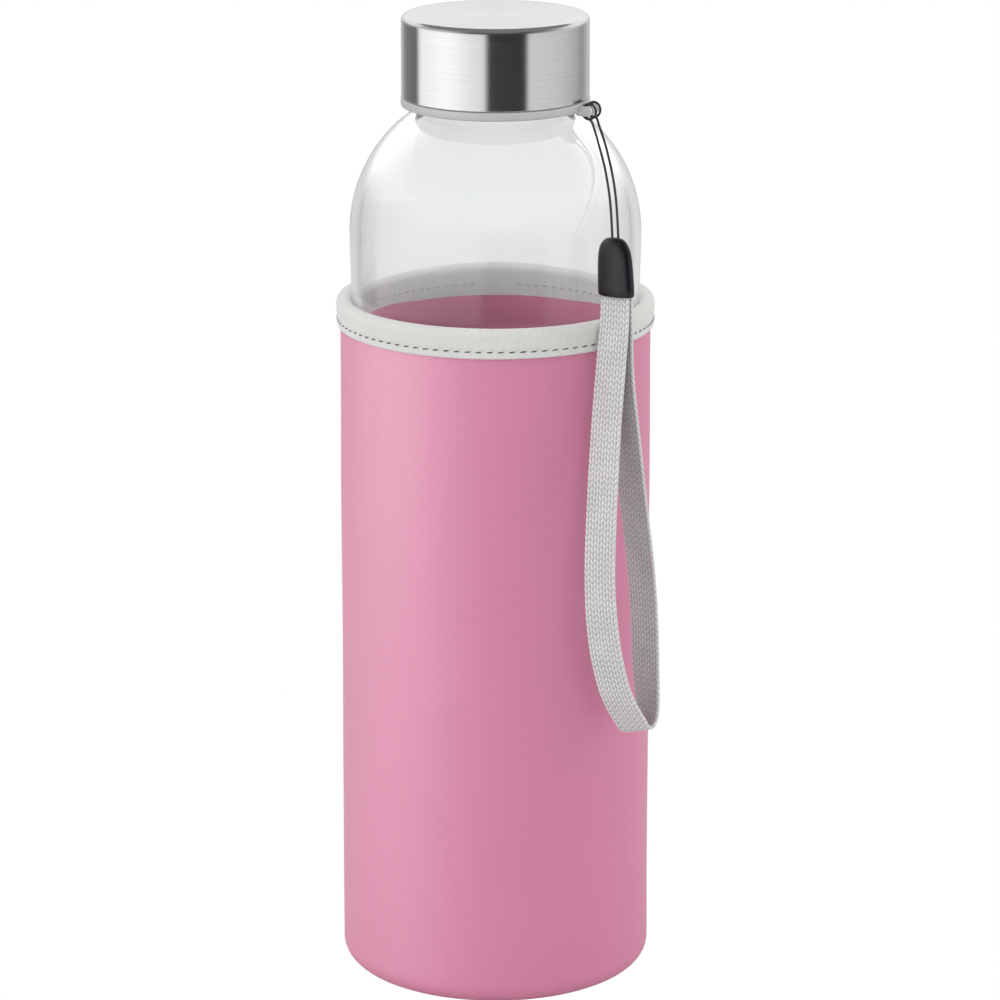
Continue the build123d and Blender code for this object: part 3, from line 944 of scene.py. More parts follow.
# ------------------------------------------------------------------ bottle
@dataclass
class Bottle(Part):
    """The blown glass body with its threaded neck."""

    body: str = "bottle"
    segments: int = 192
    wall: float = 2.15 * MM
    bulge: float = 0.25 * MM
    shoulder_height: float = 171.5 * MM
    neck_radius: float = 17.4 * MM
    bore_radius: float = 15.0 * MM
    root_fillet: float = 1.6 * MM
    foot_corner: float = 4.0 * MM
    base_thickness: float = 5.0 * MM
    punt_depth: float = 1.8 * MM
    punt_radius: float = 23 * MM
    swell_start: float = 160 * MM
    lip: float = 0.9 * MM
    thread_pitch: float = 4.0 * MM
    thread_turns: float = 1.5
    thread_depth: float = 1.2 * MM
    thread_half_root: float = 0.9 * MM
    thread_half_crest: float = 0.45 * MM
    thread_sink: float = 0.25 * MM
    thread_fade: float = 0.08
    thread_start: float = 204.0 * MM
    thread_sides: int = 96

    def outside(self) -> Profile:
        """The outer line from the middle of the punt to the rim of the mouth."""
        low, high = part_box("glass_bottle")
        dome = high[0]
        side = dome - self.bulge
        foot = low[2]
        punt = []
        for index in range(1, 12):
            share = index / 11
            punt.append((self.punt_radius * share, foot + self.punt_depth * (1 - share**2) ** 1.5))
        corner = self.foot_corner
        heel = round_arc((side - corner, foot + corner), corner, -90, 0, BEND_STEPS)
        wall = straight((side, foot + corner), (side, self.swell_start), 12)
        swell = []
        for index in range(1, 6):
            share = index / 6
            ease = math.sin(share * math.pi / 2)
            height = self.swell_start + (self.shoulder_height - self.swell_start) * share
            swell.append((side + self.bulge * ease, height))
        lift = self.root_fillet
        cosine = (self.neck_radius + lift) / (dome + lift)
        meet = math.degrees(math.acos(cosine))
        shoulder = round_arc((0, self.shoulder_height), dome, 0, meet, 34)
        root_height = self.shoulder_height + (dome + lift) * math.sin(math.radians(meet))
        root = round_arc((self.neck_radius + lift, root_height), lift, 180 + meet, 180, 6)
        mouth, lip, neck_radius = high[2], self.lip, self.neck_radius
        neck = straight((neck_radius, root_height + 0.5 * MM), (neck_radius, mouth - lip), 8)
        edge = round_arc((neck_radius - lip, mouth - lip), lip, 0, 90, 6)
        start = (0, foot + self.punt_depth)
        body = [start, *punt, *heel, *wall[1:], *swell, *shoulder]
        return [*body, *root, *neck, *edge[1:]]

    def inside(self) -> Profile:
        """The inner line from the rim of the mouth down to the middle of the floor."""
        low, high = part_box("glass_bottle")
        bore, mouth, lip = self.bore_radius, high[2], self.lip
        room = high[0] - self.bulge - self.wall
        edge = round_arc((bore + lip, mouth - lip), lip, 90, 180, 6)
        blend = 2 * self.root_fillet
        cosine = (bore + blend) / (room + blend)
        meet = math.degrees(math.acos(min(cosine, 1)))
        root_height = self.shoulder_height + (room + blend) * math.sin(math.radians(meet))
        throat = straight((bore, mouth - 1.5 * lip), (bore, root_height + 0.3 * MM), 8)
        root = round_arc((bore + blend, root_height), blend, 180, 180 + meet, 8)
        dome = round_arc((0, self.shoulder_height), room, meet, 0, 34)
        floor = low[2] + self.base_thickness
        corner = self.foot_corner
        wall = straight((room, self.shoulder_height), (room, floor + corner), 20)
        heel = round_arc((room - corner, floor + corner), corner, 0, -90, BEND_STEPS)
        flat = straight((room - corner, floor), (2 * MM, floor), 6)
        return [*edge, *throat, *root, *dome[1:], *wall[1:], *heel[1:], *flat[1:], (0, floor)]

    def build_thread(self) -> bpy.types.Object:
        """The screw ridge on the neck, run out to nothing at both ends."""
        deselect_all()
        bpy.ops.mesh.primitive_plane_add(size=1)
        ridge = bpy.context.object
        ridge.name = "neck_thread"
        ridge.rotation_euler = (math.pi / 2, 0, 0)
        apply_place(ridge)
        sunk = self.neck_radius - self.thread_sink
        rise = self.thread_pitch * self.thread_turns

        def section(point: Vector) -> Vector:
            """Puts a corner of the square on the ridge's tapered section."""
            outward = point.x > 0
            half = self.thread_half_crest if outward else self.thread_half_root
            reach = self.neck_radius + self.thread_depth if outward else sunk
            return Vector((reach, 0, math.copysign(half, point.z)))

        def run_out(point: Vector) -> Vector:
            """Lifts the ridge to its place and sinks it into the neck near its ends."""
            share = min(max(point.z / rise, 0), 1)
            fade = max(min(1.0, share / self.thread_fade, (1 - share) / self.thread_fade), 0.05)
            reach = math.hypot(point.x, point.y)
            scale = (sunk + (reach - sunk) * fade) / reach
            return Vector((point.x * scale, point.y * scale, point.z + self.thread_start))

        move_points(ridge, section)
        screw = ridge.modifiers.new("turn", "SCREW")
        screw.angle = math.tau * self.thread_turns
        screw.screw_offset = rise
        screw.steps = screw.render_steps = int(self.thread_sides * self.thread_turns)
        screw.axis = "Z"
        make_active(ridge)
        bpy.ops.object.modifier_apply(modifier="turn")
        move_points(ridge, run_out)
        bpy.ops.object.mode_set(mode="EDIT")
        bpy.ops.mesh.select_all(action="SELECT")
        bpy.ops.mesh.fill_holes(sides=0)
        bpy.ops.mesh.normals_make_consistent(inside=False)
        bpy.ops.object.mode_set(mode="OBJECT")
        bpy.ops.object.shade_smooth_by_angle(angle=math.radians(50))
        return ridge

    def build(self) -> None:
        """Builds the glass, which lets light through without a shadow."""
        profile = [*self.outside(), *self.inside()]
        glass = turn_profile("bottle_glass", profile, self.segments, 60)
        thread = self.build_thread()
        self.hand_in(glass, Finish.GLASS, self.body, "clear_glass", ["glass_bottle"])
        self.hand_in(thread, Finish.GLASS, self.body, "clear_glass")
        for clear in (glass, thread):
            clear.visible_shadow = False


@dataclass
class Cap(Part):
    """The steel shell over its plastic insert, and the seal under it."""

    body: str = "cap"
    segments: int = 192
    wall: float = 0.5 * MM
    draft: float = 0.05 * MM
    edge: float = 1.3 * MM
    hub: float = 4 * MM

    def build(self) -> None:
        """Builds the shell and repaints the hidden parts."""
        low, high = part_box("cap_shell")
        radius, top, floor = high[0], high[2], low[2]
        edge, wall = self.edge, self.wall
        upper = radius - self.draft
        outer = [
            *straight((self.hub, top), (upper - edge, top), 8),
            *round_arc((upper - edge, top - edge), edge, 90, 0, 10)[1:],
            *straight((upper, top - edge), (radius, floor + 0.15 * MM), 10)[1:],
            (radius - 0.12 * MM, floor),
        ]
        inner = [
            (radius - wall, floor),
            (upper - wall, top - edge),
            *round_arc((upper - edge, top - edge), edge - wall, 0, 90, 8)[1:],
            (self.hub, top - wall),
        ]
        profile = [(0, top), *outer, *inner, (0, top - wall)]
        shell = turn_profile("cap_shell_steel", profile, self.segments, 35)
        self.hand_in(shell, Finish.STEEL, self.body, "brushed_steel", ["cap_shell"])
        self.repaint("cap_insert", Finish.CAP_PLASTIC)
        self.repaint("cap_seal", Finish.SILICONE)


def eyelet_axes() -> tuple[Vector, Vector, Vector]:
    """The eyelet bar's middle, the way it runs and the way out from the neck."""
    joint = next(j for j in frame["joints"] if j["name"] == "lanyard_swing")
    centre = Vector(joint["pos_m"])
    bar = -Vector(joint["axis"]).normalized()
    outward = Vector((centre.x, centre.y, 0)).normalized()
    return centre, bar, outward


@dataclass
class NeckRing(Part):
    """The loose ring under the cap, with the little bar that the cord is hitched on."""

    body: str = "neck_ring"
    inner_radius: float = 17.75 * MM
    width: float = 3.2 * MM
    edge: float = 0.45 * MM
    drop: float = 0.4 * MM
    bar_radius: float = 0.98 * MM
    bar_depth: float = 1.12
    bar_height: float = 1.16
    bar_half_span: float = 2.1 * MM
    leg_thickness: float = 0.75 * MM
    leg_height: float = 1.15
    leg_root_height: float = 0.82
    leg_lean: float = 0.15 * MM
    leg_edge: float = 0.22 * MM

    def leg_rule(self, side: int, inset: float) -> Callable[[Vector], Vector]:
        """How a disc is drawn out into a leg.

        Args:
            side: -1 for the left leg, 1 for the right one.
            inset: how far the leg's root reaches in towards the band.

        Returns:
            The rule that moves each of the disc's points.
        """
        middle = side * (self.bar_half_span + self.leg_thickness / 2)

        def stretch(point: Vector) -> Vector:
            """Draws the disc out towards the band and slims its far side."""
            inward = point.y < 0
            reach = point.y - inset if inward else point.y
            slim = self.leg_root_height if point.y < -0.2 * MM else 1.0
            shift = middle - side * (self.leg_lean if inward else 0.0)
            return Vector((point.x + shift, reach, point.z * slim * self.leg_height))

        return stretch

    def build(self) -> None:
        """Builds the band, the bar and its two rounded legs as one moulding."""
        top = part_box("neck_ring")[1][2]
        centre, bar, outward = eyelet_axes()
        outer, edge = self.inner_radius + self.width, self.edge
        floor = centre.z - self.drop
        section = [
            *round_arc((self.inner_radius + edge, top - edge), edge, 180, 90, 5),
            *round_arc((outer - edge, top - edge), edge, 90, 0, 5),
            *round_arc((outer - edge, floor + edge), edge, 0, -90, 5),
            *round_arc((self.inner_radius + edge, floor + edge), edge, 270, 180, 5),
        ]
        pieces = [turn_profile("neck_ring_band", [*section, section[0]], 160)]
        turn = Matrix([[bar[i], outward[i], UP[i]] for i in range(3)]).to_4x4()
        place = Matrix.Translation(centre) @ turn
        deselect_all()
        bpy.ops.mesh.primitive_cylinder_add(
            vertices=32,
            radius=self.bar_radius,
            depth=2 * self.bar_half_span + 0.2 * MM,
            rotation=(0, math.pi / 2, 0),
        )
        pieces.append(bpy.context.object)
        apply_place(pieces[-1])
        move_points(
            pieces[-1], lambda p: Vector((p.x, p.y * self.bar_depth, p.z * self.bar_height))
        )
        inset = centre.to_2d().length - outer + 0.5 * MM
        for side in (-1, 1):
            bpy.ops.mesh.primitive_cylinder_add(
                vertices=32, radius=self.bar_radius, depth=self.leg_thickness
            )
            leg = bpy.context.object
            leg.rotation_euler = (0, math.pi / 2, 0)
            apply_place(leg)
            move_points(leg, self.leg_rule(side, inset))
            make_active(leg)
            bevel = leg.modifiers.new("round", "BEVEL")
            bevel.width = self.leg_edge
            bevel.segments = 3
            bevel.limit_method = "ANGLE"
            bpy.ops.object.modifier_apply(modifier="round")
            pieces.append(leg)
        for piece in pieces[1:]:
            apply_place(piece)
            piece.data.transform(place)
            make_active(piece)
            bpy.ops.object.shade_smooth_by_angle(angle=math.radians(40))
        ring = join_pieces(pieces, "neck_ring_moulding")
        self.hand_in(ring, Finish.RING_PLASTIC, self.body, "ring_plastic", ["neck_ring"])


# ------------------------------------------------------------------ hand strap
@dataclass
class HandStrap(Part):
    """The doubled cord, its end cap and the webbing loop."""

    body: str = "lanyard"
    cord_radius: float = 0.27 * MM
    cord_length: float = 0.106
    hitch_half_spacing: float = 1.57 * MM
    hitch_reach: float = 1.62 * MM
    hitch_rise: float = 1.74 * MM
    hitch_sag: float = 0.17 * MM
    hitch_start: float = -72
    hitch_sweep: float = 565
    hitch_steps: int = 16
    hitch_tuck: float = 0.04
    webbing_width: float = 8.2 * MM
    webbing_thickness: float = 0.9 * MM
    webbing_length: float = 0.212
    knit_relief: float = 0.21 * MM
    wales: int = 10
    course: float = 1.3 * MM
    columns: int = 40
    row_step: float = 0.19 * MM
    selvedge: float = 0.965
    edge_round: float = 0.06
    # painted shade: the back face's relief level, which only sets the yarn colour, is scaled by
    # this so that face renders darker
    back_face_shade: float = 0.72
    twist_keys: tuple = (
        (0.0, 0), (0.12, -4), (0.30, -7), (0.42, -14), (0.48, -16), (0.60, 0), (1.0, 0),
    )
    strap_azimuth: float = math.radians(-45)
    strap_lean: float = math.radians(3.5)
    strap_gap: float = 0.4 * MM
    contact_height: float = 157 * MM
    end_cap_along: float = -2.75 * MM
    end_cap_middle: float = 169.9 * MM
    end_cap_length: float = 12.8 * MM
    end_cap_width: float = 9.9 * MM
    end_cap_thickness: float = 4.2 * MM
    end_cap_rings: tuple = (
        (1.0, 1.0, 0.3), (1.0, 1.0, 1.6), (0.985, 0.99, 4.0), (0.965, 0.98, 6.4),
        (0.945, 0.96, 7.8), (0.915, 0.94, 8.8), (0.87, 0.91, 9.8), (0.80, 0.86, 10.7),
        (0.70, 0.79, 11.5), (0.58, 0.70, 12.1), (0.44, 0.57, 12.5), (0.28, 0.40, 12.74),
        (0.12, 0.20, 12.8),
    )
    pocket_depth: float = 7.5 * MM
    pocket_scale: tuple = (0.88, 0.60, 1)
    left_route: tuple = (
        (25.52, -28.99, 171.00), (25.40, -28.80, 174.10), (25.27, -27.70, 176.90),
        (25.16, -25.10, 179.60), (24.94, -21.70, 182.80), (24.47, -18.20, 186.00),
        (23.78, -14.80, 189.30), (22.55, -11.70, 193.50), (21.45, -10.00, 197.00),
    )
    right_route: tuple = (
        (22.65, -7.95, 197.00), (23.95, -10.40, 193.50), (25.14, -14.30, 189.30),
        (25.83, -18.25, 186.00), (26.26, -22.10, 182.80), (26.44, -25.90, 179.60),
        (26.53, -28.90, 176.90), (26.66, -30.06, 174.10), (26.80, -30.27, 171.00),
    )
    webbing_route: tuple = (
        (-2.92, 168.6), (-2.98, 160.5), (-5.20, 148.5), (-7.70, 134.0), (-9.90, 117.0),
        (-11.55, 101.0), (-10.95, 87.5), (-8.40, 76.5), (-5.60, 71.0), (-3.60, 68.1),
        (-1.70, 65.1), (0.90, 65.4), (2.35, 68.3), (2.40, 73.0), (2.20, 80.0), (2.45, 90.0),
        (1.85, 103.0), (0.15, 117.5), (-1.25, 132.5), (-2.75, 146.5), (-2.02, 160.2),
        (-1.98, 168.6),
    )

    def __post_init__(self) -> None:
        """Works out the plane that the strap hangs in."""
        angle = self.strap_azimuth
        out = Vector((math.cos(angle), math.sin(angle), 0))
        self.along = Vector((-math.sin(angle), math.cos(angle), 0))
        self.normal = out * math.cos(self.strap_lean) + UP * math.sin(self.strap_lean)
        self.rise = self.normal.cross(self.along)
        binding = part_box("rim_binding")[1][0]
        reach = binding + self.strap_gap + self.webbing_width / 2
        self.origin = out * reach + UP * self.contact_height

    def on_plane(self, along: float, height: float) -> Vector:
        """A point of the strap's plane, from its place along it and its height on the slope."""
        return self.origin + self.along * along + self.rise * (height - self.contact_height)

    def nurbs(self, name: str, points: Sequence[Vector], resolution: int) -> bpy.types.Object:
        """A curve of one smooth spline with these control points."""
        curve = bpy.data.curves.new(name, "CURVE")
        curve.dimensions = "3D"
        curve.resolution_u = resolution
        spline = curve.splines.new("NURBS")
        spline.points.add(len(points) - 1)
        for slot, point in zip(spline.points, points):
            slot.co = (*point, 1)
        spline.order_u = 3
        spline.use_endpoint_u = True
        piece = bpy.data.objects.new(name, curve)
        bpy.context.collection.objects.link(piece)
        return piece

    def hitch_points(self) -> list[Vector]:
        """The cord's way round the eyelet's bar: nearly two turns, across on top, and two back."""
        centre, bar, outward = eyelet_axes()
        reach, rise, span = self.hitch_reach, self.hitch_rise, self.hitch_half_spacing
        turns = []
        for step in range(self.hitch_steps + 1):
            share = step / self.hitch_steps
            angle = math.radians(self.hitch_start - self.hitch_sweep * share)
            across = -span * (1.12 - 0.52 * share - 0.25 * share**6)
            tuck = 1 - self.hitch_tuck * share**8
            lift = tuck * rise * math.sin(angle) - self.hitch_sag
            ray = outward * (reach * math.cos(angle)) + UP * lift
            turns.append((ray, across))
        points = [centre + ray + bar * across for ray, across in turns]
        points += [centre + ray - bar * across for ray, across in reversed(turns)]
        return points

    def build_cord(self) -> bpy.types.Object:
        """The doubled cord: up from the end cap, hitched on the bar, and back down."""
        left = [Vector(point) * MM for point in self.left_route]
        right = [Vector(point) * MM for point in self.right_route]
        cord = self.nurbs("neck_cord", [*left, *self.hitch_points(), *right], 10)
        line = bpy.data.meshes.new_from_object(cord)
        spots = [vertex.co for vertex in line.vertices]
        length = sum((b - a).length for a, b in zip(spots, spots[1:]))
        log.info("cord is %.1f mm long", length / MM)
        cord.data.bevel_depth = self.cord_radius
        cord.data.bevel_resolution = 4
        cord.data.use_fill_caps = True
        nodes = ["cord_strand_left", "cord_strand_right", "cord_hitch"]
        return self.hand_in(cord, Finish.CORD, self.body, "dark_cord", nodes)

    def end_cap_matrix(self) -> Matrix:
        """Place of the end cap: X across its width, Z up the strap, origin at its lower end."""
        low = self.on_plane(self.end_cap_along, self.end_cap_middle - self.end_cap_length / 2)
        side = self.rise.cross(self.normal)
        columns = (self.normal, side, self.rise)
        turn = Matrix([[column[row] for column in columns] for row in range(3)]).to_4x4()
        return Matrix.Translation(low) @ turn

    def build_end_cap(self) -> bpy.types.Object:
        """The moulded end cap: a flat oval barrel with a domed top and an open pocket."""
        half_width, half_depth = self.end_cap_width / 2, self.end_cap_thickness / 2
        deselect_all()
        bpy.ops.mesh.primitive_circle_add(vertices=64, radius=1, fill_type="NOTHING")
        barrel = bpy.context.object
        barrel.name = "end_cap_moulding"

        def oval(point: Vector) -> Vector:
            """Puts a unit circle's point on the barrel's flat oval."""
            across = half_width * math.copysign(abs(point.x) ** 0.88, point.x)
            through = half_depth * math.copysign(abs(point.y) ** 0.92, point.y)
            return Vector((across, through, 0))

        move_points(barrel, oval)
        bpy.ops.object.mode_set(mode="EDIT")
        bpy.ops.mesh.select_all(action="SELECT")
        wide, deep, height = 0.95, 0.93, 0.0
        bpy.ops.transform.resize(value=(wide, deep, 1), center_override=(0, 0, 0))
        for next_wide, next_deep, next_height in self.end_cap_rings:
            lift = (next_height - height) * MM
            bpy.ops.mesh.extrude_edges_move(TRANSFORM_OT_translate={"value": (0, 0, lift)})
            centre = (0, 0, next_height * MM)
            value = (next_wide / wide, next_deep / deep, 1)
            bpy.ops.transform.resize(value=value, center_override=centre)
            wide, deep, height = next_wide, next_deep, next_height
        bpy.ops.mesh.edge_face_add()
        bpy.ops.mesh.select_all(action="DESELECT")
        bpy.ops.object.mode_set(mode="OBJECT")
        for vertex in barrel.data.vertices:
            vertex.select = abs(vertex.co.z) < 1e-6
        bpy.ops.object.mode_set(mode="EDIT")
        bpy.ops.mesh.extrude_edges_move(TRANSFORM_OT_translate={"value": (0, 0, 0)})
        bpy.ops.transform.resize(value=self.pocket_scale, center_override=(0, 0, 0))
        bpy.ops.mesh.extrude_edges_move(TRANSFORM_OT_translate={"value": (0, 0, self.pocket_depth)})
        bpy.ops.mesh.edge_face_add()
        bpy.ops.mesh.select_all(action="SELECT")
        bpy.ops.mesh.normals_make_consistent(inside=False)
        bpy.ops.object.mode_set(mode="OBJECT")
        bpy.ops.object.shade_smooth_by_angle(angle=math.radians(50))
        barrel.data.transform(self.end_cap_matrix())
        return self.hand_in(barrel, Finish.END_CAP, self.body, "end_cap_plastic", ["strap_end_cap"])

    def build_knot(self) -> bpy.types.Object:
        """The stopper knot inside the end cap: three turns of cord drawn together."""
        low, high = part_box("cord_knot")
        centre = Vector([(a + b) / 2 for a, b in zip(low, high)])
        turns = []
        for tilt, shift in ((-18, -0.45), (0, 0.0), (18, 0.45)):
            deselect_all()
            bpy.ops.mesh.primitive_torus_add(
                major_radius=0.62 * MM,
                minor_radius=0.26 * MM,
                major_segments=24,
                minor_segments=10,
            )
            turn = bpy.context.object
            turn.rotation_euler = (0, math.pi / 2 + math.radians(tilt), 0)
            turn.location = (shift * MM, 0, 0)
            apply_place(turn)
            turns.append(turn)
        knot = join_pieces(turns, "stopper_knot")
        make_active(knot)
        bpy.ops.object.shade_smooth()
        matrix = self.end_cap_matrix()
        matrix.translation = centre
        knot.data.transform(matrix)
        return self.hand_in(knot, Finish.CORD, self.body, "dark_cord", ["cord_knot"])

    def twist(self, share: float) -> float:
        """How far the webbing is turned about its own line, in radians."""
        for (start, first), (end, second) in zip(self.twist_keys, self.twist_keys[1:]):
            if share <= end:
                local = (share - start) / (end - start)
                ease = local * local * (3 - 2 * local)
                return math.radians(first + (second - first) * ease)
        return 0.0

    def knit(self, across: float, along: float) -> float:
        """Height of the yarn at a place on the webbing, from 0 in a dip to 1 on a crest."""
        if abs(2 * across / self.webbing_width - 1) > self.selvedge:
            return 0.8
        column = across / self.webbing_width * self.wales
        index = math.floor(column)
        local = column - index - 0.5
        lean = 1 if index % 2 else -1
        phase = along / self.course + lean * local * 0.85 + 0.25 * (index % 2)
        swell = math.sqrt(max(0.0, 1 - (2 * local) ** 2 * 0.96))
        loop = 0.5 + 0.5 * math.cos(math.tau * phase)
        return swell * (0.30 + 0.70 * loop**0.8)

    def webbing_path(self) -> list[Vector]:
        """Evenly spaced points of the webbing's line, read from its curve."""
        control = [self.on_plane(a * MM, h * MM) for a, h in self.webbing_route]
        guide = self.nurbs("webbing_line", control, 64)
        line = bpy.data.meshes.new_from_object(guide)
        raw = [vertex.co.copy() for vertex in line.vertices]
        bpy.data.objects.remove(guide, do_unlink=True)
        lengths = [0.0]
        for first, second in zip(raw, raw[1:]):
            lengths.append(lengths[-1] + (second - first).length)
        rows = int(lengths[-1] / self.row_step)
        path, index = [], 0
        for row in range(rows + 1):
            want = lengths[-1] * row / rows
            while index < len(raw) - 2 and lengths[index + 1] < want:
                index += 1
            span = lengths[index + 1] - lengths[index]
            share = (want - lengths[index]) / span if span else 0
            path.append(raw[index].lerp(raw[index + 1], share))
        log.info("webbing is %.1f mm long", lengths[-1] / MM)
        return path

    def webbing_row(self, across_dir: Vector, face_dir: Vector, along: float) -> list[tuple]:
        """One row across the webbing, on both faces.

        Args:
            across_dir: the way across the webbing.
            face_dir: the way out of its first face.
            along: how far along the webbing the row is.

        Returns:
            For each vertex, its place from the middle line and its relief level, which also sets
            the painted shade of the yarn.
        """
        half_thick = self.webbing_thickness / 2 - self.knit_relief
        row = []
        for side in (1, -1):
            for column in range(self.columns + 1):
                share = column / self.columns
                across = self.webbing_width * share
                past = max(0.0, (abs(2 * share - 1) - (1 - self.edge_round)) / self.edge_round)
                round_off = math.sqrt(max(0.0, 1 - past**2))
                shift = along + (0.5 * self.course if side < 0 else 0)
                yarn = self.knit(min(across, self.webbing_width * 0.9999), shift)
                height = (half_thick + self.knit_relief * yarn) * round_off
                offset = across_dir * (across - self.webbing_width / 2)
                # painted shade on the back face: its level is scaled down, darkening its colour
                # only
                level = yarn if side > 0 else yarn * self.back_face_shade
                row.append((offset + face_dir * (side * height), level))
        return row

    def build_webbing(self) -> tuple[bpy.types.Object, list[Vector]]:
        """The knitted webbing loop, its yarn modelled on both faces.

        Returns:
            The webbing and the points that it follows.
        """
        path = self.webbing_path()
        rows = len(path) - 1
        total = sum((second - first).length for first, second in zip(path, path[1:]))
        vertices, values = [], []
        for row, point in enumerate(path):
            ahead = path[min(row + 1, rows)] - path[max(row - 1, 0)]
            tangent = ahead.normalized()
            across_dir = Matrix.Rotation(self.twist(row / rows), 3, tangent) @ self.normal
            face_dir = tangent.cross(across_dir).normalized()
            for offset, level in self.webbing_row(across_dir, face_dir, total * row / rows):
                vertices.append(point + offset)
                values.append(level)
        width = self.columns + 1
        faces = []
        for row in range(rows):
            for side in (0, 1):
                base = (row * 2 + side) * width
                above = base + 2 * width
                for column in range(self.columns):
                    a, b = base + column, base + column + 1
                    c, d = above + column + 1, above + column
                    faces.append((a, b, c, d) if side == 0 else (d, c, b, a))
        mesh = bpy.data.meshes.new("hand_webbing")
        mesh.from_pydata(vertices, [], faces)
        # the relief attribute also sets the yarn's painted shade in the dips
        relief = mesh.attributes.new("relief", "FLOAT", "POINT")
        relief.data.foreach_set("value", values)
        webbing = bpy.data.objects.new("hand_webbing", mesh)
        bpy.context.collection.objects.link(webbing)
        make_active(webbing)
        bpy.ops.object.mode_set(mode="EDIT")
        bpy.ops.mesh.select_all(action="SELECT")
        bpy.ops.mesh.remove_doubles(threshold=1e-6)
        bpy.ops.mesh.fill_holes(sides=0)
        bpy.ops.mesh.normals_make_consistent(inside=False)
        bpy.ops.object.mode_set(mode="OBJECT")
        bpy.ops.object.shade_smooth()
        self.hand_in(webbing, Finish.WEBBING, self.body, "webbing", ["webbing_loop"])
        return webbing, path

    def build(self) -> None:
        """Builds the strap: its doubled cord, end cap, stopper knot and webbing."""
        cord = self.build_cord()
        end_cap = self.build_end_cap()
        knot = self.build_knot()
        webbing, path = self.build_webbing()


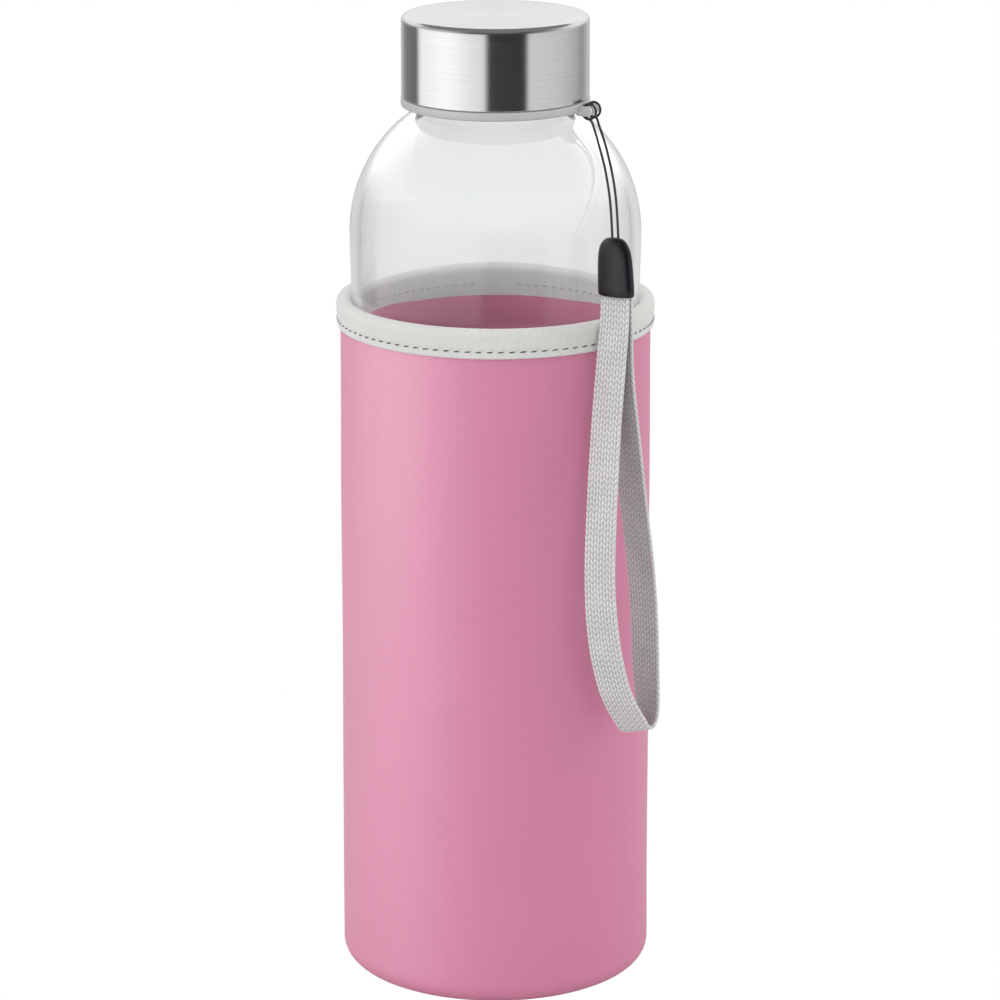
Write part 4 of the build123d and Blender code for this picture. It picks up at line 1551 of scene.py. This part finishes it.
# ------------------------------------------------------------------ studio
@dataclass
class Studio:
    """A pale floor, soft light, and the panels that the steel and glass mirror."""

    camera_distance: float = 0.936
    camera_height: float = 0.374
    camera_side: float = 0.00102
    camera_pitch: float = math.radians(15.81)
    lens: float = 154.4
    world_strength: float = 0.93
    ring_radius: float = 0.55
    ring_top: float = 0.62
    mirror_lid: float = 0.22
    backdrop_lid: float = 2.3
    low_stops: tuple = (
        (-180, 0.66), (-160, 0.62), (-140, 0.25), (-110, 0.14), (-102, 1.15), (-60, 1.28),
        (-30, 1.05), (-14, 0.95), (-8, 0.03), (36, 0.02), (41, 0.80), (80, 0.70),
        (110, 0.52), (130, 0.34), (150, 0.60), (180, 0.66),
    )
    high_stops: tuple = (
        (-180, 1.05), (-120, 0.95), (-100, 0.5), (-60, 0.5), (-30, 0.10), (40, 0.08),
        (80, 0.4), (120, 0.95), (180, 1.05),
    )
    glass_high_stops: tuple = ((-180, 2.3), (180, 2.3))
    glass_stops: tuple = (
        (-180, 0.90), (-152, 0.82), (-128, 0.42), (-90, 0.34), (-30, 0.60), (30, 0.60),
        (90, 0.32), (128, 0.40), (152, 0.82), (180, 0.90),
    )

    def build_camera(self) -> None:
        """Sets the camera in front of the bottle, a little above it."""
        data = bpy.data.cameras.new("camera")
        data.lens = self.lens
        data.sensor_width = 36
        camera = bpy.data.objects.new("camera", data)
        camera.location = (self.camera_side, -self.camera_distance, self.camera_height)
        camera.rotation_euler = (math.pi / 2 - self.camera_pitch, 0, 0)
        bpy.context.collection.objects.link(camera)
        bpy.context.scene.camera = camera

    def glow(self, name: str, colour: Colour, level: float) -> bpy.types.Material:
        """A dull material of one colour that gives off white light at a level."""
        material, _, shader = new_material(name)
        shader.inputs["Base Color"].default_value = (*colour, 1)
        shader.inputs["Roughness"].default_value = 0.9
        shader.inputs["Specular IOR Level"].default_value = 0.0
        shader.inputs["Emission Color"].default_value = (1, 1, 1, 1)
        shader.inputs["Emission Strength"].default_value = level
        return material

    def build_floor(self) -> None:
        """A pale floor that lights the piece, under a white one that only the camera sees."""
        looks = (
            ("studio_floor", -0.5 * MM, (0.72, 0.72, 0.72), 0.0, False),
            ("white_ground", 0.0, (0, 0, 0), 1.0, True),
        )
        for name, height, colour, level, seen in looks:
            deselect_all()
            bpy.ops.mesh.primitive_plane_add(size=14)
            floor = bpy.context.object
            floor.name = name
            dress(floor, self.glow(name, colour, level))
            move_points(floor, lambda p, height=height: Vector((p.x, p.y, height)))
            floor.visible_camera = seen
            floor.visible_diffuse = not seen
            floor.visible_glossy = not seen
            floor.visible_transmission = not seen
            floor.visible_shadow = not seen

    def panel_ring(self, name: str, low_stops: Sequence, high_stops: Sequence) -> bpy.types.Object:
        """Builds a ring of panels whose light changes with azimuth and height.

        Args:
            name: the ring's name.
            low_stops: azimuth and level pairs near the floor.
            high_stops: azimuth and level pairs near the top.

        Returns:
            The ring with its glowing material; build_panels hides it from the camera and from
            diffuse light.
        """
        wall = [(self.ring_radius, 0.5 * MM), (self.ring_radius, self.ring_top)]
        ring = turn_profile(name, wall, 96)
        material = bpy.data.materials.new(name)
        material.use_nodes = True
        tree = material.node_tree
        tree.nodes.clear()
        graph = Graph(tree)
        place = graph.add("TexCoord").outputs["Object"]
        parts = graph.add("SeparateXYZ", {0: place})
        back = graph.math("MULTIPLY", parts.outputs[1], -1.0)
        angle = graph.math("ARCTAN2", parts.outputs[0], back)
        share = graph.math("MULTIPLY_ADD", angle, 1 / math.tau, 0.5)
        low = self.ramp(graph, share, low_stops)
        high = self.ramp(graph, share, high_stops)
        lift = graph.add(
            "MapRange",
            {"Value": parts.outputs[2], "From Min": 0.14, "From Max": 0.40},
            interpolation_type="SMOOTHSTEP",
        )
        level = graph.blend(lift.outputs[0], low, high)
        glow = graph.add("Emission", {"Color": level, "Strength": 1.0})
        out = graph.add("OutputMaterial")
        tree.links.new(glow.outputs[0], out.inputs[0])
        dress(ring, material)
        return ring

    def build_panels(self) -> None:
        """One ring and lid that the steel mirrors, and one that is seen through the glass."""
        sets = (
            ("mirror", self.low_stops, self.high_stops, self.mirror_lid, True),
            ("backdrop", self.glass_stops, self.glass_high_stops, self.backdrop_lid, False),
        )
        for name, low_stops, high_stops, lid_level, mirrored in sets:
            ring = self.panel_ring(name + "_panels", low_stops, high_stops)
            cover = [(0, self.ring_top), (self.ring_radius, self.ring_top)]
            lid = turn_profile(name + "_lid", cover, 48)
            dress(lid, self.glow(name + "_lid", (0, 0, 0), lid_level))
            for piece in (ring, lid):
                piece.visible_camera = False
                piece.visible_diffuse = False
                piece.visible_shadow = False
                piece.visible_glossy = mirrored
                piece.visible_transmission = not mirrored

    def ramp(
        self, graph: Graph, share: bpy.types.NodeSocket, stops: Sequence
    ) -> bpy.types.NodeSocket:
        """A colour ramp over the azimuth.

        Args:
            graph: the graph to add it to.
            share: azimuth as a share of the whole turn.
            stops: degrees from the camera's side, positive to the right, and the level there.

        Returns:
            The ramp's colour.
        """
        node = graph.add("ValToRGB", {0: share})
        elements = node.color_ramp.elements
        elements.remove(elements[1])
        elements[0].position = 0.0
        elements[0].color = (stops[0][1],) * 3 + (1,)
        for degrees, level in stops[1:]:
            element = elements.new((degrees + 180) / 360)
            element.color = (level, level, level, 1)
        return node.outputs[0]

    def add_lamp(
        self, name: str, spot: tuple, size: float, power: float, aim_height: float
    ) -> bpy.types.Object:
        """Adds a soft square lamp that faces a point on the bottle's axis.

        Args:
            name: the lamp's name.
            spot: its place.
            size: the length of its side.
            power: its power in watts.
            aim_height: height of the point that it faces.

        Returns:
            The lamp.
        """
        data = bpy.data.lights.new(name, "AREA")
        data.size = size
        data.energy = power
        lamp = bpy.data.objects.new(name, data)
        lamp.location = spot
        aim = Vector((0, 0, aim_height)) - Vector(spot)
        lamp.rotation_euler = aim.to_track_quat("-Z", "Y").to_euler()
        bpy.context.collection.objects.link(lamp)
        return lamp

    def build_lights(self) -> None:
        """A soft key from the left, a weak fill from the right and an even sky."""
        self.add_lamp("key", (-1.12, -0.66, 0.58), 1.0, 3.9, 0.11)
        self.add_lamp("fill", (1.10, 0.25, 0.66), 0.8, 2.6, 0.11)
        world = bpy.data.worlds.new("soft_sky")
        world.use_nodes = True
        sky = world.node_tree.nodes["Background"]
        sky.inputs["Color"].default_value = (1, 1, 1, 1)
        sky.inputs["Strength"].default_value = self.world_strength
        bpy.context.scene.world = world
        bpy.context.scene.view_settings.view_transform = "Standard"

    def build_cloth_gloss(self, cloth: bpy.types.Object) -> None:
        """A broad light from the left that only gives the cover its pale gloss."""
        lamp = self.add_lamp("cloth_gloss", (-1.1, -0.3, 0.2), 1.4, 58.0, 0.08)
        lamp.visible_diffuse = False
        receivers = bpy.data.collections.new("gloss_receivers")
        receivers.objects.link(cloth)
        lamp.light_linking.receiver_collection = receivers

    def build(self) -> None:
        """Builds the whole studio."""
        self.build_camera()
        self.build_floor()
        self.build_panels()
        self.build_lights()


def main() -> None:
    """Builds every sub-assembly around the frame."""
    logging.basicConfig(level=logging.INFO, format="%(message)s")
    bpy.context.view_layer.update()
    wardrobe = Wardrobe()
    studio = Studio()
    studio.build()
    HandStrap(wardrobe).build()
    cover = Sleeve(wardrobe).build()
    Binding(wardrobe).build()
    Bottle(wardrobe).build()
    Cap(wardrobe).build()
    NeckRing(wardrobe).build()
    studio.build_cloth_gloss(cover)


if __name__ == "__main__":
    main()
